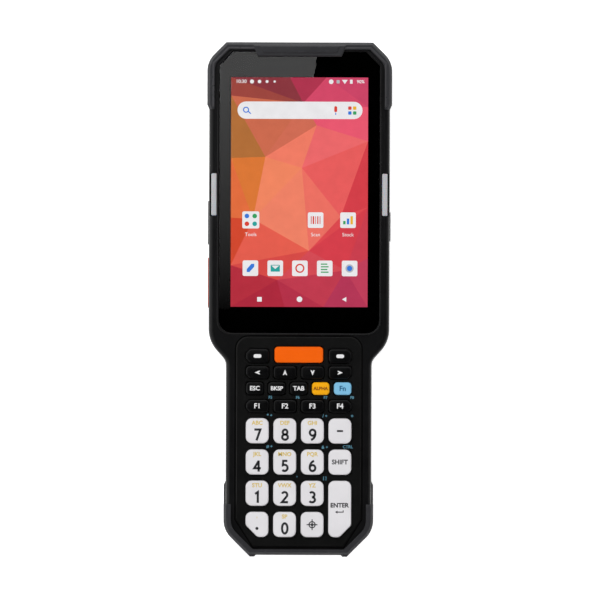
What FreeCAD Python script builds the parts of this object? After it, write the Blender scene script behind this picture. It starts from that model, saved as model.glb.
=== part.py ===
import FreeCAD
import Part
import Sketcher

import math
import os
from collections import namedtuple

# A handheld barcode data terminal that lies on its back: X to its right, Y towards its top end,
# Z out of its display. The origin is under its middle, on the plane that its back rests on.

SIZES = {
    # overall body
    "body_length": 211.0,
    "body_depth": 29.5,
    "head_width": 74.2,
    "grip_width": 59.8,
    "shoulder_top": 17.2,
    "shoulder_bottom": 25.2,
    "shoulder_radius": 13.0,
    "waist_radius": 5.0,
    "parting_height": 17.0,
    "back_chamfer": 4.5,
    "front_radius": 2.0,
    "shell_wall": 2.0,
    "floor_thickness": 2.0,
    "fit_gap": 0.15,
    # rubber end bumpers
    "bumper_wall": 3.0,
    "bumper_proud": 0.8,
    "bumper_rise": 0.7,
    "bumper_ramp": 1.8,
    "bumper_back_chamfer": 3.2,
    "bumper_front_chamfer": 1.1,
    "lip_thickness": 2.2,
    "top_lip": 8.0,
    "top_bumper_reach": 27.5,
    "top_corner_cut": 7.8,
    "top_corner_radius": 9.5,
    "bottom_lip": 6.5,
    "bottom_bumper_reach": 31.0,
    "bottom_bumper_front_reach": 21.5,
    "bottom_bumper_step": 22.0,
    "bottom_corner_cut": 10.8,
    "bottom_corner_radius": 10.0,
    "horn_rise": 0.7,
    "horn_width": 1.8,
    "bridge_width": 34.4,
    "bridge_slant": 2.1,
    "bridge_overhang": 5.9,
    "bridge_rise": 1.3,
    "bridge_bevel": 0.5,
    # display stack
    "glass_width": 65.6,
    "glass_top_rim": 1.0,
    "glass_bottom": 13.7,
    "glass_corner_cut": 5.6,
    "glass_corner_radius": 5.5,
    "glass_thickness": 1.4,
    "glass_recess": 0.3,
    "gasket_thickness": 0.4,
    "gasket_inset": 0.4,
    "screen_width": 56.2,
    "screen_height": 94.2,
    "screen_centre": 44.05,
    "display_border": 1.7,
    "display_thickness": 3.0,
    # keypad
    "panel_width": 51.4,
    "panel_top": 15.3,
    "panel_bottom": 101.4,
    "panel_thickness": 2.0,
    "panel_rise": 0.3,
    "panel_radius": 5.0,
    "panel_cut_width": 7.2,
    "panel_cut_length": 11.3,
    "panel_ledge": 1.2,
    "panel_chamfer": 0.35,
    "well_width": 46.0,
    "well_top": 17.6,
    "well_bottom": 98.6,
    "ceiling_height": 25.4,
    "key_rise": 1.6,
    "dark_key_rise": 1.2,
    "key_clearance": 0.25,
    "key_travel": 0.6,
    "key_flange_margin": 0.5,
    "key_flange_thickness": 0.8,
    "key_flange_gap": 0.1,
    "key_chamfer": 0.4,
    "key_pitch": 11.3,
    "key_width": 9.4,
    "digit_key_height": 10.3,
    "digit_key_corner": 1.2,
    "digit_key_cut": 4.9,
    "digit_row": 53.85,
    "digit_pitch": 12.8,
    "dark_key_height": 5.2,
    "dark_key_corner": 0.6,
    "dark_key_cut": 1.7,
    "soft_row": 23.2,
    "soft_key_height": 5.7,
    "scan_row": 22.65,
    "scan_key_width": 20.0,
    "scan_key_height": 6.6,
    "arrow_row": 29.95,
    "edit_row": 36.5,
    "edit_pitch": 9.0,
    "edit_key_width": 7.2,
    "function_row": 43.75,
    "mat_thickness": 1.0,
    "mat_overlap": 0.9,
    "dome_width": 4.4,
    "dome_length": 2.6,
    "dome_clearance": 0.1,
    "keypad_board_thickness": 1.0,
    # light bars and side keys
    "light_bar_inner": 33.9,
    "light_bar_width": 2.6,
    "light_bar_length": 17.4,
    "light_bar_centre": 43.0,
    "light_bar_depth": 3.0,
    "light_bar_radius": 1.0,
    "side_key_height": 5.6,
    "side_key_level": 21.4,
    "side_key_rise": 0.4,
    "side_key_radius": 1.6,
    "side_key_travel": 0.6,
    "side_flange_margin": 0.8,
    "side_flange_thickness": 0.8,
    "side_flange_gap": 0.1,
    "trigger_centre": 6.8,
    "trigger_length": 20.5,
    "rocker_centre": 31.5,
    "rocker_length": 18.0,
    "rocker_lug": 3.2,
    "rocker_play": 0.35,
    "rocker_switch_offset": 5.5,
    "power_centre": 30.0,
    "power_length": 12.0,
    # electronics
    "board_thickness": 1.2,
    "board_head_width": 63.0,
    "board_head_top": 62.0,
    "board_head_bottom": 5.0,
    "board_grip_width": 46.0,
    "board_grip_bottom": 62.0,
    "board_tail_width": 28.0,
    "board_end_gap": 2.5,
    "shield_height": 1.8,
    "shield_width": 26.0,
    "shield_length": 22.0,
    "shield_centre": 40.0,
    "switch_length": 4.0,
    "switch_overlap": 2.0,
    "switch_height": 5.6,
    "switch_clearance": 0.15,
    "engine_width": 30.0,
    "engine_length": 17.0,
    "engine_height": 11.5,
    "engine_lens_radius": 3.4,
    "engine_lens_rise": 1.0,
    "engine_lens_offset": 7.0,
    "scan_window_width": 33.6,
    "scan_window_height": 11.0,
    "scan_window_thickness": 1.2,
    "scan_window_level": 9.8,
    "scan_window_ledge": 1.2,
    "scan_window_radius": 2.0,
    "scan_mouth_lap": 0.5,
    "scan_mouth_flare": 1.0,
    "rear_cavity_bottom": 32.0,
    "rear_floor_width": 56.4,
    "rear_floor_top": 96.0,
    "rear_ledge_height": 4.4,
    "rear_cavity_width": 64.8,
    "back_row": 66.0,
    "speaker_width": 18.0,
    "speaker_length": 12.0,
    "speaker_height": 4.0,
    "speaker_centre": 17.0,
    "slot_width": 1.2,
    "slot_length": 9.0,
    "slot_pitch": 2.6,
    "receiver_width": 12.0,
    "receiver_length": 4.6,
    "receiver_height": 2.0,
    "receiver_inset": 3.6,
    "camera_centre": 17.0,
    "camera_plate_width": 11.0,
    "camera_plate_length": 23.0,
    "camera_plate_radius": 3.0,
    "camera_plate_thickness": 0.8,
    "camera_plate_recess": 0.2,
    "camera_size": 7.2,
    "camera_height": 5.0,
    "lens_radius": 2.4,
    "lens_depth": 0.4,
    "flash_size": 3.6,
    "flash_height": 1.6,
    "camera_spacing": 10.5,
    # battery, its latch and contacts
    "battery_width": 48.6,
    "battery_top": 14.0,
    "battery_bottom": 88.0,
    "battery_height": 13.7,
    "battery_lift": 0.3,
    "battery_heel_radius": 1.6,
    "battery_slant": 1.6,
    "battery_gap": 0.3,
    "battery_edge": 0.7,
    "battery_notch": 3.4,
    "latch_width": 16.0,
    "latch_length": 9.0,
    "latch_height": 2.5,
    "latch_lift": 0.5,
    "latch_travel": 3.0,
    "latch_wall": 2.7,
    "latch_radius": 1.5,
    "latch_gap": 0.2,
    "bolt_width": 8.0,
    "bolt_height": 1.4,
    "bolt_reach": 1.7,
    "rib_width": 0.9,
    "rib_rise": 0.3,
    "rib_pitch": 2.0,
    "contact_block_width": 16.0,
    "contact_block_length": 4.0,
    "contact_block_inset": 8.0,
    # lower end: cover, socket, charging contacts, strap pin
    "cover_width": 18.0,
    "cover_height": 8.2,
    "cover_thickness": 2.0,
    "cover_gap": 0.25,
    "cover_edge_radius": 0.95,
    "cover_chamfer": 0.4,
    "socket_width": 9.0,
    "socket_height": 3.3,
    "socket_radius": 1.6,
    "socket_length": 7.4,
    "socket_wall": 0.35,
    "socket_depth": 6.2,
    "tongue_width": 6.6,
    "tongue_height": 0.7,
    "tongue_inset": 0.8,
    "charge_window_width": 21.0,
    "charge_window_height": 6.0,
    "charge_window_radius": 1.5,
    "charge_level": 8.6,
    "charge_pad_width": 2.0,
    "charge_pad_height": 3.6,
    "charge_pad_pitch": 3.2,
    "charge_pad_thickness": 0.8,
    "charge_pad_rise": 0.2,
    "strap_pocket_width": 16.0,
    "strap_pocket_length": 6.6,
    "strap_pocket_radius": 1.0,
    "strap_pocket_depth": 5.2,
    "strap_pin_radius": 1.0,
    "strap_pin_clearance": 0.05,
    "strap_pin_seat": 2.0,
    "strap_pin_level": 2.6,
    "strap_row": 94.2,
    # screws that close the two housings
    "screw_column": 29.2,
    "screw_upper_row": 70.0,
    "screw_lower_column": 20.2,
    "screw_lower_row": 94.0,
    "screw_head_radius": 2.2,
    "screw_head_height": 1.6,
    "screw_shank_radius": 1.0,
    "screw_sink": 2.2,
    "screw_bite": 5.5,
    "screw_clearance": 0.1,
    "post_width": 5.4,
}

V = FreeCAD.Vector
doc = FreeCAD.newDocument("terminal")
sheet = doc.addObject("Spreadsheet::Sheet", "Sizes")
subparts = []

for row, (name, size) in enumerate(SIZES.items(), start=1):
    sheet.set(f"A{row}", name)
    sheet.set(f"B{row}", str(size))
    sheet.setAlias(f"B{row}", name)
doc.recompute()


def minus(expression):
    return f"(-({expression}))"


# Places that several pieces share, as expressions of the sheet's sizes.
HALF_LENGTH = "(Sizes.body_length / 2)"
HEAD_X = "(Sizes.head_width / 2)"
GRIP_X = "(Sizes.grip_width / 2)"
TOP_BUMPER_X = f"({HEAD_X} + Sizes.bumper_proud)"
BOTTOM_BUMPER_X = f"({GRIP_X} + Sizes.bumper_proud)"
TOP_SEAT_Y = f"({HALF_LENGTH} - Sizes.top_bumper_reach)"
BOTTOM_SEAT_Y = f"(Sizes.bottom_bumper_reach - {HALF_LENGTH})"
BOTTOM_FRONT_SEAT_Y = f"(Sizes.bottom_bumper_front_reach - {HALF_LENGTH})"
CORE_TOP_Y = f"({HALF_LENGTH} - Sizes.bumper_wall)"
CORE_BOTTOM_Y = f"(Sizes.bumper_wall - {HALF_LENGTH})"
CAVITY_INSET = "(Sizes.bumper_wall + Sizes.shell_wall)"
CAVITY_TOP_Y = f"({HALF_LENGTH} - {CAVITY_INSET})"
CAVITY_BOTTOM_Y = f"({CAVITY_INSET} - {HALF_LENGTH})"
SIDE_WALL_X = f"({HEAD_X} - Sizes.shell_wall)"
SHOULDER_SHIFT = (
    "tan(atan((Sizes.head_width - Sizes.grip_width) / 2"
    " / (Sizes.shoulder_bottom - Sizes.shoulder_top)) / 2)"
)
BUMPER_FRONT = "(Sizes.body_depth + Sizes.bumper_rise)"
FRONT_DEPTH = "(Sizes.body_depth - Sizes.parting_height)"
BEYOND_X = "Sizes.head_width"
BEYOND_Y = "Sizes.body_length"

GLASS_TOP_Y = f"({CORE_TOP_Y} - Sizes.glass_top_rim)"
GLASS_LEVEL = "(Sizes.body_depth - Sizes.glass_recess - Sizes.glass_thickness)"
GASKET_LEVEL = f"({GLASS_LEVEL} - Sizes.gasket_thickness)"
DISPLAY_LEVEL = f"({GLASS_LEVEL} - Sizes.display_thickness)"
DISPLAY_WIDTH = "(Sizes.screen_width + 2 * Sizes.display_border)"
DISPLAY_HEIGHT = "(Sizes.screen_height + 2 * Sizes.display_border)"

PANEL_TOP_LEVEL = "(Sizes.body_depth + Sizes.panel_rise)"
PANEL_LEVEL = f"({PANEL_TOP_LEVEL} - Sizes.panel_thickness)"
FLANGE_LEVEL = f"({PANEL_LEVEL} - Sizes.key_flange_gap - Sizes.key_flange_thickness)"
MAT_LEVEL = "(Sizes.ceiling_height - Sizes.mat_thickness)"
KEYPAD_BOARD_LEVEL = f"({MAT_LEVEL} - Sizes.keypad_board_thickness)"
DOME_TOP = f"({FLANGE_LEVEL} - Sizes.key_travel - Sizes.dome_clearance)"

BOARD_TOP = "(Sizes.parting_height + Sizes.board_thickness)"
SIDE_FLANGE_X = f"({SIDE_WALL_X} - Sizes.side_flange_gap - Sizes.side_flange_thickness)"
SWITCH_X = f"({SIDE_FLANGE_X} - Sizes.side_key_travel - Sizes.switch_clearance)"

BAY_TOP_Y = "(Sizes.battery_top + Sizes.battery_gap)"
BAY_BOTTOM_Y = "(-Sizes.battery_bottom - Sizes.battery_gap)"
BAY_WIDTH = "(Sizes.battery_width + 2 * Sizes.battery_gap)"
PACK_TOP = "(Sizes.battery_lift + Sizes.battery_height)"
BAY_HEIGHT = f"({PACK_TOP} + Sizes.battery_gap)"
CONTACT_Y = "(Sizes.battery_top - Sizes.contact_block_inset)"
LATCH_Y = f"({BAY_TOP_Y} + Sizes.latch_wall)"
LATCH_TOP = "(Sizes.latch_lift + Sizes.latch_height)"
LATCH_POCKET_DEPTH = f"({LATCH_TOP} + Sizes.latch_gap)"
BOLT_LEVEL = f"({LATCH_TOP} - Sizes.bolt_height)"

LOWER_FACE_Y = f"(Sizes.horn_rise - {HALF_LENGTH})"
SOCKET_LEVEL = f"({BOARD_TOP} + Sizes.socket_height / 2)"
COVER_BOTTOM = f"({SOCKET_LEVEL} - Sizes.cover_height / 2)"
SCAN_WINDOW_Y = f"({CORE_TOP_Y} - Sizes.scan_window_thickness)"

# The screws' places, the upper two and then the lower two.
Screw = namedtuple("Screw", "side x y")
SCREWS = [
    Screw(side, f"({side} * Sizes.{column})", row)
    for column, row in (
        ("screw_column", "Sizes.screw_upper_row"),
        ("screw_lower_column", "(-Sizes.screw_lower_row)"),
    )
    for side in (1, -1)
]


def new_body(label):
    body = doc.addObject("PartDesign::Body", label)
    body.Label = label
    body.AllowCompound = True
    subparts.append(body)
    return body


def new_sketch(body, name, level, plane):
    """A sketch on one of the body's own planes, moved along that plane's normal."""
    sketch = body.newObject("Sketcher::SketchObject", name)
    support = next(f for f in body.Origin.OriginFeatures if f.Role == plane)
    sketch.AttachmentSupport = [(support, "")]
    sketch.MapMode = "FlatFace"
    sketch.setExpression("AttachmentOffset.Base.z", level)
    return sketch


def bind(sketch, constraints):
    """Adds constraints given as (constraint, expression or None) and ties them to the sheet."""
    first = sketch.ConstraintCount
    sketch.addConstraint([constraint for constraint, _ in constraints])
    for number, (_, expression) in enumerate(constraints, start=first):
        if expression is not None:
            sketch.setExpression(f"Constraints[{number}]", expression)


def outline(sketch, corners):
    """A closed outline of straight lines. A corner is (x, y), or (x, y, radius) to round it."""
    count = len(corners)
    at = [V(sketch.evalExpression(c[0]), sketch.evalExpression(c[1]), 0) for c in corners]
    radius = [sketch.evalExpression(c[2]) if len(c) > 2 else None for c in corners]
    before, after, arcs = list(at), list(at), {}
    for i in range(count):
        if radius[i] is None:
            continue
        along_in = (at[i] - at[i - 1]).normalize()
        along_out = (at[(i + 1) % count] - at[i]).normalize()
        left = along_in.cross(along_out).z > 0
        reach = radius[i] * math.tan(along_in.getAngle(along_out) / 2)
        before[i] = at[i] - along_in * reach
        after[i] = at[i] + along_out * reach
        side = V(-along_in.y, along_in.x, 0) * (1 if left else -1)
        centre = before[i] + side * radius[i]
        middle = centre + (at[i] - centre).normalize() * radius[i]
        ends = (before[i], after[i]) if left else (after[i], before[i])
        arcs[i] = (Part.Arc(ends[0], middle, ends[1]), left)
    first = sketch.GeometryCount
    sketch.addGeometry(
        [Part.LineSegment(after[i], before[(i + 1) % count]) for i in range(count)], False
    )
    constraints = []
    for i in range(count):
        line_in, line_out = first + (i - 1) % count, first + i
        held = line_out
        if i in arcs:
            arc = sketch.addGeometry(arcs[i][0], False)
            held = sketch.addGeometry(Part.Point(at[i]), True)
            start, end = (1, 2) if arcs[i][1] else (2, 1)
            constraints += [
                (Sketcher.Constraint("PointOnObject", held, 1, line_in), None),
                (Sketcher.Constraint("PointOnObject", held, 1, line_out), None),
                (Sketcher.Constraint("Tangent", line_in, 2, arc, start), None),
                (Sketcher.Constraint("Tangent", arc, end, line_out, 1), None),
                (Sketcher.Constraint("Radius", arc, radius[i]), corners[i][2]),
            ]
        else:
            constraints.append((Sketcher.Constraint("Coincident", line_in, 2, line_out, 1), None))
        constraints += [
            (Sketcher.Constraint("DistanceX", -1, 1, held, 1, at[i].x), corners[i][0]),
            (Sketcher.Constraint("DistanceY", -1, 1, held, 1, at[i].y), corners[i][1]),
        ]
    bind(sketch, constraints)


def circle(sketch, x, y, radius):
    centre = V(sketch.evalExpression(x), sketch.evalExpression(y), 0)
    value = sketch.evalExpression(radius)
    ring = sketch.addGeometry(Part.Circle(centre, V(0, 0, 1), value), False)
    bind(
        sketch,
        [
            (Sketcher.Constraint("Radius", ring, value), radius),
            (Sketcher.Constraint("DistanceX", -1, 1, ring, 3, centre.x), x),
            (Sketcher.Constraint("DistanceY", -1, 1, ring, 3, centre.y), y),
        ],
    )


def draw(sketch, shapes):
    """Draws outlines, each a list of corners, and circles, each (x, y, radius)."""
    for shape in shapes:
        if isinstance(shape, tuple):
            circle(sketch, *shape)
        else:
            outline(sketch, shape)


def both_sides(half):
    """The whole outline, from the corners of its right half listed from the top down."""
    return half + [(minus(corner[0]), *corner[1:]) for corner in reversed(half)]


def box_corners(left, right, bottom, top, *radius):
    places = [(left, top), (right, top), (right, bottom), (left, bottom)]
    return [(*place, *radius) for place in places]


def centred_box(x, y, width, height, *radius):
    half_width, half_height = f"({width}) / 2", f"({height}) / 2"
    return box_corners(
        f"{x} - {half_width}",
        f"{x} + {half_width}",
        f"{y} - {half_height}",
        f"{y} + {half_height}",
        *radius,
    )


def add(body, name, shapes, level, length, plane="XY_Plane"):
    """Adds material along the plane's normal."""
    sketch = new_sketch(body, name + "_sketch", level, plane)
    draw(sketch, shapes)
    feature = body.newObject("PartDesign::Pad", name)
    feature.Profile = sketch
    feature.setExpression("Length", length)
    return feature


def cut(body, name, shapes, level, depth, plane="XY_Plane"):
    """Takes material away against the plane's normal."""
    sketch = new_sketch(body, name + "_sketch", level, plane)
    draw(sketch, shapes)
    feature = body.newObject("PartDesign::Pocket", name)
    feature.Profile = sketch
    feature.setExpression("Length", depth)
    return feature


def value_of(expression):
    return sheet.evalExpression(expression.replace("Sizes.", ""))


def edges_where(feature, **limits):
    """The edges whose box has the given limits, such as ZMin and ZMax, all as expressions."""
    doc.recompute()
    wanted = {name: value_of(place) for name, place in limits.items()}
    return [
        f"Edge{number}"
        for number, edge in enumerate(feature.Shape.Edges, start=1)
        if all(abs(getattr(edge.BoundBox, name) - place) < 1e-4 for name, place in wanted.items())
    ]


def flat_edges(feature, level, apart_from=None):
    """The edges on one level, without those that lie along a line across the body."""
    edges = edges_where(feature, ZMin=level, ZMax=level)
    if apart_from is None:
        return edges
    spared = edges_where(feature, YMin=apart_from, YMax=apart_from)
    return [edge for edge in edges if edge not in spared]


def bevel(body, base, edges, amount, name):
    feature = body.newObject("PartDesign::Chamfer", name)
    feature.Base = (base, edges)
    feature.setExpression("Size", amount)
    return feature


def round_over(body, base, edges, radius, name):
    feature = body.newObject("PartDesign::Fillet", name)
    feature.Base = (base, edges)
    feature.setExpression("Radius", radius)
    return feature


# Outlines in plan that more than one piece follows.


def top_end(inset, rounded=True):
    """The head's end from its middle to its right side, moved in from the bumper's outside."""
    corner_cut = f"(Sizes.top_corner_cut - ({inset}) * (2 - sqrt(2)))"
    side = f"({TOP_BUMPER_X} - {inset})"
    end = f"({HALF_LENGTH} - {inset})"
    radius = [f"Sizes.top_corner_radius - {inset}"] if rounded else []
    return [(f"{side} - {corner_cut}", end), (side, f"{end} - {corner_cut}", *radius)]


def bottom_end(inset, rounded=True):
    """The grip's end from its right side to its middle, moved in from the bumper's outside."""
    corner_cut = f"(Sizes.bottom_corner_cut - ({inset}) * (2 - sqrt(2)))"
    side = f"({BOTTOM_BUMPER_X} - {inset})"
    end = f"({inset} - {HALF_LENGTH})"
    radius = [f"Sizes.bottom_corner_radius - {inset}"] if rounded else []
    return [(side, f"{end} + {corner_cut}", *radius), (f"{side} - {corner_cut}", end)]


def shoulder(inset):
    """Where the wide head narrows to the grip, moved in from the housing's outside."""
    shift = f"{inset} * {SHOULDER_SHIFT}"
    return [
        (f"{HEAD_X} - {inset}", f"-Sizes.shoulder_top + {shift}", f"Sizes.shoulder_radius - {inset}"),
        (f"{GRIP_X} - {inset}", f"-Sizes.shoulder_bottom + {shift}", f"Sizes.waist_radius + {inset}"),
    ]


def envelope():
    """Both housings before the bumper seats are cut."""
    proud = "Sizes.bumper_proud"
    return both_sides(top_end(proud) + shoulder("0") + bottom_end(proud))


def cavity():
    """The room inside the front housing, narrower where the bumpers are let in."""
    wall = "Sizes.shell_wall"
    top_side = f"{TOP_BUMPER_X} - {CAVITY_INSET}"
    bottom_side = f"{BOTTOM_BUMPER_X} - {CAVITY_INSET}"
    top_step = f"{TOP_SEAT_Y} - {wall}"
    bottom_step = f"{BOTTOM_SEAT_Y} + {wall}"
    return both_sides(
        top_end(CAVITY_INSET, rounded=False)
        + [(top_side, top_step), (SIDE_WALL_X, top_step)]
        + shoulder(wall)
        + [(f"{GRIP_X} - {wall}", bottom_step), (bottom_side, bottom_step)]
        + bottom_end(CAVITY_INSET, rounded=False)
    )


def horseshoe(outer, inner):
    """A closed outline from an outer and an inner line, both listed from the middle rightwards."""
    left_outer = [(minus(corner[0]), *corner[1:]) for corner in reversed(outer)]
    left_inner = [(minus(corner[0]), *corner[1:]) for corner in inner]
    return left_outer + outer + list(reversed(inner)) + left_inner


def top_seat(inset):
    """All that lies outside the head's core, beyond the top bumper's lower edge."""
    inner = top_end(inset) + [(f"{TOP_BUMPER_X} - {inset}", TOP_SEAT_Y)]
    return horseshoe([(BEYOND_X, BEYOND_Y), (BEYOND_X, TOP_SEAT_Y)], inner)


def bottom_seat(inset, edge):
    """All that lies outside the grip's core, beyond the bottom bumper's upper edge."""
    inner = [(f"{BOTTOM_BUMPER_X} - {inset}", edge)] + bottom_end(inset)
    return horseshoe([(BEYOND_X, minus(BEYOND_Y)), (BEYOND_X, edge)], list(reversed(inner)))


def glass_outline(inset):
    """The touch window: cut corners at the top, round corners at the bottom."""
    side = f"(Sizes.glass_width / 2 - {inset})"
    top = f"({GLASS_TOP_Y} - {inset})"
    corner_cut = f"(Sizes.glass_corner_cut - ({inset}) * (2 - sqrt(2)))"
    return both_sides(
        [
            (f"{side} - {corner_cut}", top),
            (side, f"{top} - {corner_cut}"),
            (side, f"-Sizes.glass_bottom + {inset}", f"Sizes.glass_corner_radius - {inset}"),
        ]
    )


def display_outline(gap):
    width, height = f"{DISPLAY_WIDTH} + 2 * {gap}", f"{DISPLAY_HEIGHT} + 2 * {gap}"
    return centred_box("0", "Sizes.screen_centre", width, height)


def panel_outline(inset):
    """The keypad's face plate: round at the top, with slanted lower corners."""
    steep = "tan(atan(Sizes.panel_cut_width / Sizes.panel_cut_length) / 2)"
    shallow = "tan(atan(Sizes.panel_cut_length / Sizes.panel_cut_width) / 2)"
    side = f"Sizes.panel_width / 2 - {inset}"
    bottom = f"-Sizes.panel_bottom + {inset}"
    cut_top = f"-Sizes.panel_bottom + Sizes.panel_cut_length + ({inset}) * {steep}"
    cut_x = f"Sizes.panel_width / 2 - Sizes.panel_cut_width - ({inset}) * {shallow}"
    return both_sides(
        [
            (side, f"-Sizes.panel_top - {inset}", f"Sizes.panel_radius - {inset}"),
            (side, cut_top),
            (cut_x, bottom),
        ]
    )


def well_outline(margin):
    """The well under the face plate; its slanted corners keep the plate's ledge."""
    slope = "(Sizes.panel_cut_width / Sizes.panel_cut_length)"
    side = f"(Sizes.well_width / 2 + {margin})"
    bottom = f"(-Sizes.well_bottom - {margin})"
    ledge_x = "(Sizes.panel_width / 2 - Sizes.panel_ledge)"
    ledge_rise = f"Sizes.panel_ledge * tan(atan({slope}) / 2)"
    ledge_y = f"(-Sizes.panel_bottom + Sizes.panel_cut_length + {ledge_rise})"
    return both_sides(
        [
            (side, f"-Sizes.well_top + {margin}"),
            (side, f"{ledge_y} - ({ledge_x} - {side}) / {slope}"),
            (f"{ledge_x} - ({ledge_y} - {bottom}) * {slope}", bottom),
        ]
    )


# The keys: each one's middle and size, how far it stands out of the face plate, the small straight
# cut of its corners, and the large cut and the corners that have it instead.

Key = namedtuple("Key", "name x y width height rise corner large_cut cut_corners")


def column(number):
    return f"({number - 1.5} * Sizes.key_pitch)"


def digit_row(number):
    return f"(-Sizes.digit_row - {number} * Sizes.digit_pitch)"


def white_key(name, x, y, height="Sizes.digit_key_height", corners=()):
    small_cut, large_cut = "Sizes.digit_key_corner", "Sizes.digit_key_cut"
    return Key(name, x, y, "Sizes.key_width", height, "Sizes.key_rise", small_cut, large_cut, corners)


def dark_key(name, x, y, width="Sizes.key_width", height="Sizes.dark_key_height", corners=()):
    small_cut, large_cut = "Sizes.dark_key_corner", "Sizes.dark_key_cut"
    return Key(name, x, y, width, height, "Sizes.dark_key_rise", small_cut, large_cut, corners)


def soft_key(name, number, corners):
    height = "Sizes.soft_key_height"
    return dark_key(name, column(number), "(-Sizes.soft_row)", height=height, corners=corners)


def key_rows():
    left_side, right_side = ("top_left", "bottom_left"), ("top_right", "bottom_right")
    soft = [
        soft_key("left_soft_key", 0, left_side),
        dark_key("scan_key", "0", "(-Sizes.scan_row)", "Sizes.scan_key_width", "Sizes.scan_key_height"),
        soft_key("right_soft_key", 3, right_side),
    ]
    arrow_corners = {0: ("bottom_left",), 3: ("bottom_right",)}
    arrows = [
        dark_key(name, column(n), "(-Sizes.arrow_row)", corners=arrow_corners.get(n, ()))
        for n, name in enumerate(("left_key", "up_key", "down_key", "right_key"))
    ]
    edits = [
        dark_key(name, f"({n - 2} * Sizes.edit_pitch)", "(-Sizes.edit_row)", "Sizes.edit_key_width")
        for n, name in enumerate(("escape_key", "backspace_key", "tab_key", "alpha_key", "function_key"))
    ]
    function_corners = {0: left_side, 3: right_side}
    functions = [
        dark_key(f"f{n + 1}_key", column(n), "(-Sizes.function_row)", corners=function_corners.get(n, ()))
        for n in range(4)
    ]
    digits = (
        ("seven_key", "eight_key", "nine_key", "minus_key"),
        ("four_key", "five_key", "six_key", "shift_key"),
        ("one_key", "two_key", "three_key"),
        ("point_key", "zero_key", "locate_key"),
    )
    cut_digits = {"point_key": ("bottom_left",)}
    rows = [soft, arrows, edits, functions]
    for number, names in enumerate(digits):
        rows.append(
            [
                white_key(name, column(n), digit_row(number), corners=cut_digits.get(name, ()))
                for n, name in enumerate(names)
            ]
        )
    tall = "(Sizes.digit_pitch + Sizes.digit_key_height)"
    rows.append([white_key("enter_key", column(3), digit_row(2.5), tall, ("bottom_right",))])
    return rows


def key_outline(key, margin, square=False):
    """A key's outline seen from the front, grown by a margin."""
    left = f"({key.x} - {key.width} / 2 - {margin})"
    right = f"({key.x} + {key.width} / 2 + {margin})"
    top = f"({key.y} + {key.height} / 2 + {margin})"
    bottom = f"({key.y} - {key.height} / 2 - {margin})"
    corners = []
    for place, x, y, inward_x, inward_y in (
        ("top_left", left, top, "+", "-"),
        ("top_right", right, top, "-", "-"),
        ("bottom_right", right, bottom, "-", "+"),
        ("bottom_left", left, bottom, "+", "+"),
    ):
        large = place in key.cut_corners
        if square and not large:
            corners.append((x, y))
            continue
        size = f"({key.large_cut if large else key.corner} + {margin} * (2 - sqrt(2)))"
        ends = [(x, f"{y} {inward_y} {size}"), (f"{x} {inward_x} {size}", y)]
        corners += ends if place in ("top_left", "bottom_right") else reversed(ends)
    return corners


KEY_ROWS = key_rows()


def make_key(key):
    """A bevelled key cap with a flange that keeps it under the face plate."""
    body = new_body(key.name)
    top = f"({PANEL_TOP_LEVEL} + {key.rise})"
    cap = add(body, key.name + "_cap", [key_outline(key, "0")], FLANGE_LEVEL, f"{top} - {FLANGE_LEVEL}")
    bevel(body, cap, flat_edges(cap, top), "Sizes.key_chamfer", key.name + "_edge")
    flange = key_outline(key, "Sizes.key_flange_margin", square=True)
    add(body, key.name + "_flange", [flange], FLANGE_LEVEL, "Sizes.key_flange_thickness")


# Keys in the head's side walls: on which side, where along it, how long, and their play.

SideKey = namedtuple("SideKey", "name side centre length play")
SIDE_KEYS = [
    SideKey("scan_trigger", -1, "Sizes.trigger_centre", "Sizes.trigger_length", "Sizes.fit_gap"),
    SideKey("volume_rocker", -1, "Sizes.rocker_centre", "Sizes.rocker_length", "Sizes.rocker_play"),
    SideKey("power_key", 1, "Sizes.power_centre", "Sizes.power_length", "Sizes.fit_gap"),
]


def side_outline(key, margin, *radius):
    """A side key seen from the side: Y to the right and Z up."""
    length, height = f"{key.length} + 2 * {margin}", f"Sizes.side_key_height + 2 * {margin}"
    return centred_box(key.centre, "Sizes.side_key_level", length, height, *radius)


def make_side_key(key):
    """A key that slides in the side wall, or rocks between lugs at its middle."""
    body = new_body(key.name)
    outside = f"({HEAD_X} + Sizes.side_key_rise)"
    low, high = (SIDE_FLANGE_X, outside) if key.side > 0 else (minus(outside), minus(SIDE_FLANGE_X))
    profile = side_outline(key, "0", "Sizes.side_key_radius")
    add(body, key.name + "_cap", [profile], low, f"{high} - ({low})", "YZ_Plane")
    flange = side_outline(key, "Sizes.side_flange_margin")
    if key.name == "volume_rocker":
        height = "Sizes.side_key_height + 2 * Sizes.side_flange_margin"
        flange = centred_box(key.centre, "Sizes.side_key_level", "Sizes.rocker_lug", height)
    thickness = "Sizes.side_flange_thickness"
    start = SIDE_FLANGE_X if key.side > 0 else minus(f"{SIDE_FLANGE_X} + {thickness}")
    add(body, key.name + "_flange", [flange], start, thickness, "YZ_Plane")


def cut_side_windows(body):
    """The openings in the side walls that the side keys come through."""
    for key in SIDE_KEYS:
        opening = side_outline(key, key.play, f"Sizes.side_key_radius + {key.play}")
        outer = f"({HEAD_X} + Sizes.shell_wall)"
        inner = f"({HEAD_X} - 2 * Sizes.shell_wall)"
        start = outer if key.side > 0 else minus(inner)
        cut(body, key.name + "_window", [opening], start, f"{outer} - {inner}", "YZ_Plane")


# The two housings, which the screws hold together.


def post_outlines(screws, wall):
    """Blocks round the screws, from their inner face out to a wall."""
    blocks = []
    for screw in screws:
        half = "Sizes.post_width / 2"
        inner, outer = f"({screw.x} - ({screw.side}) * {half})", f"({screw.side} * {wall})"
        left, right = (inner, outer) if screw.side > 0 else (outer, inner)
        blocks.append(box_corners(left, right, f"{screw.y} - {half}", f"{screw.y} + {half}"))
    return blocks


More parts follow.
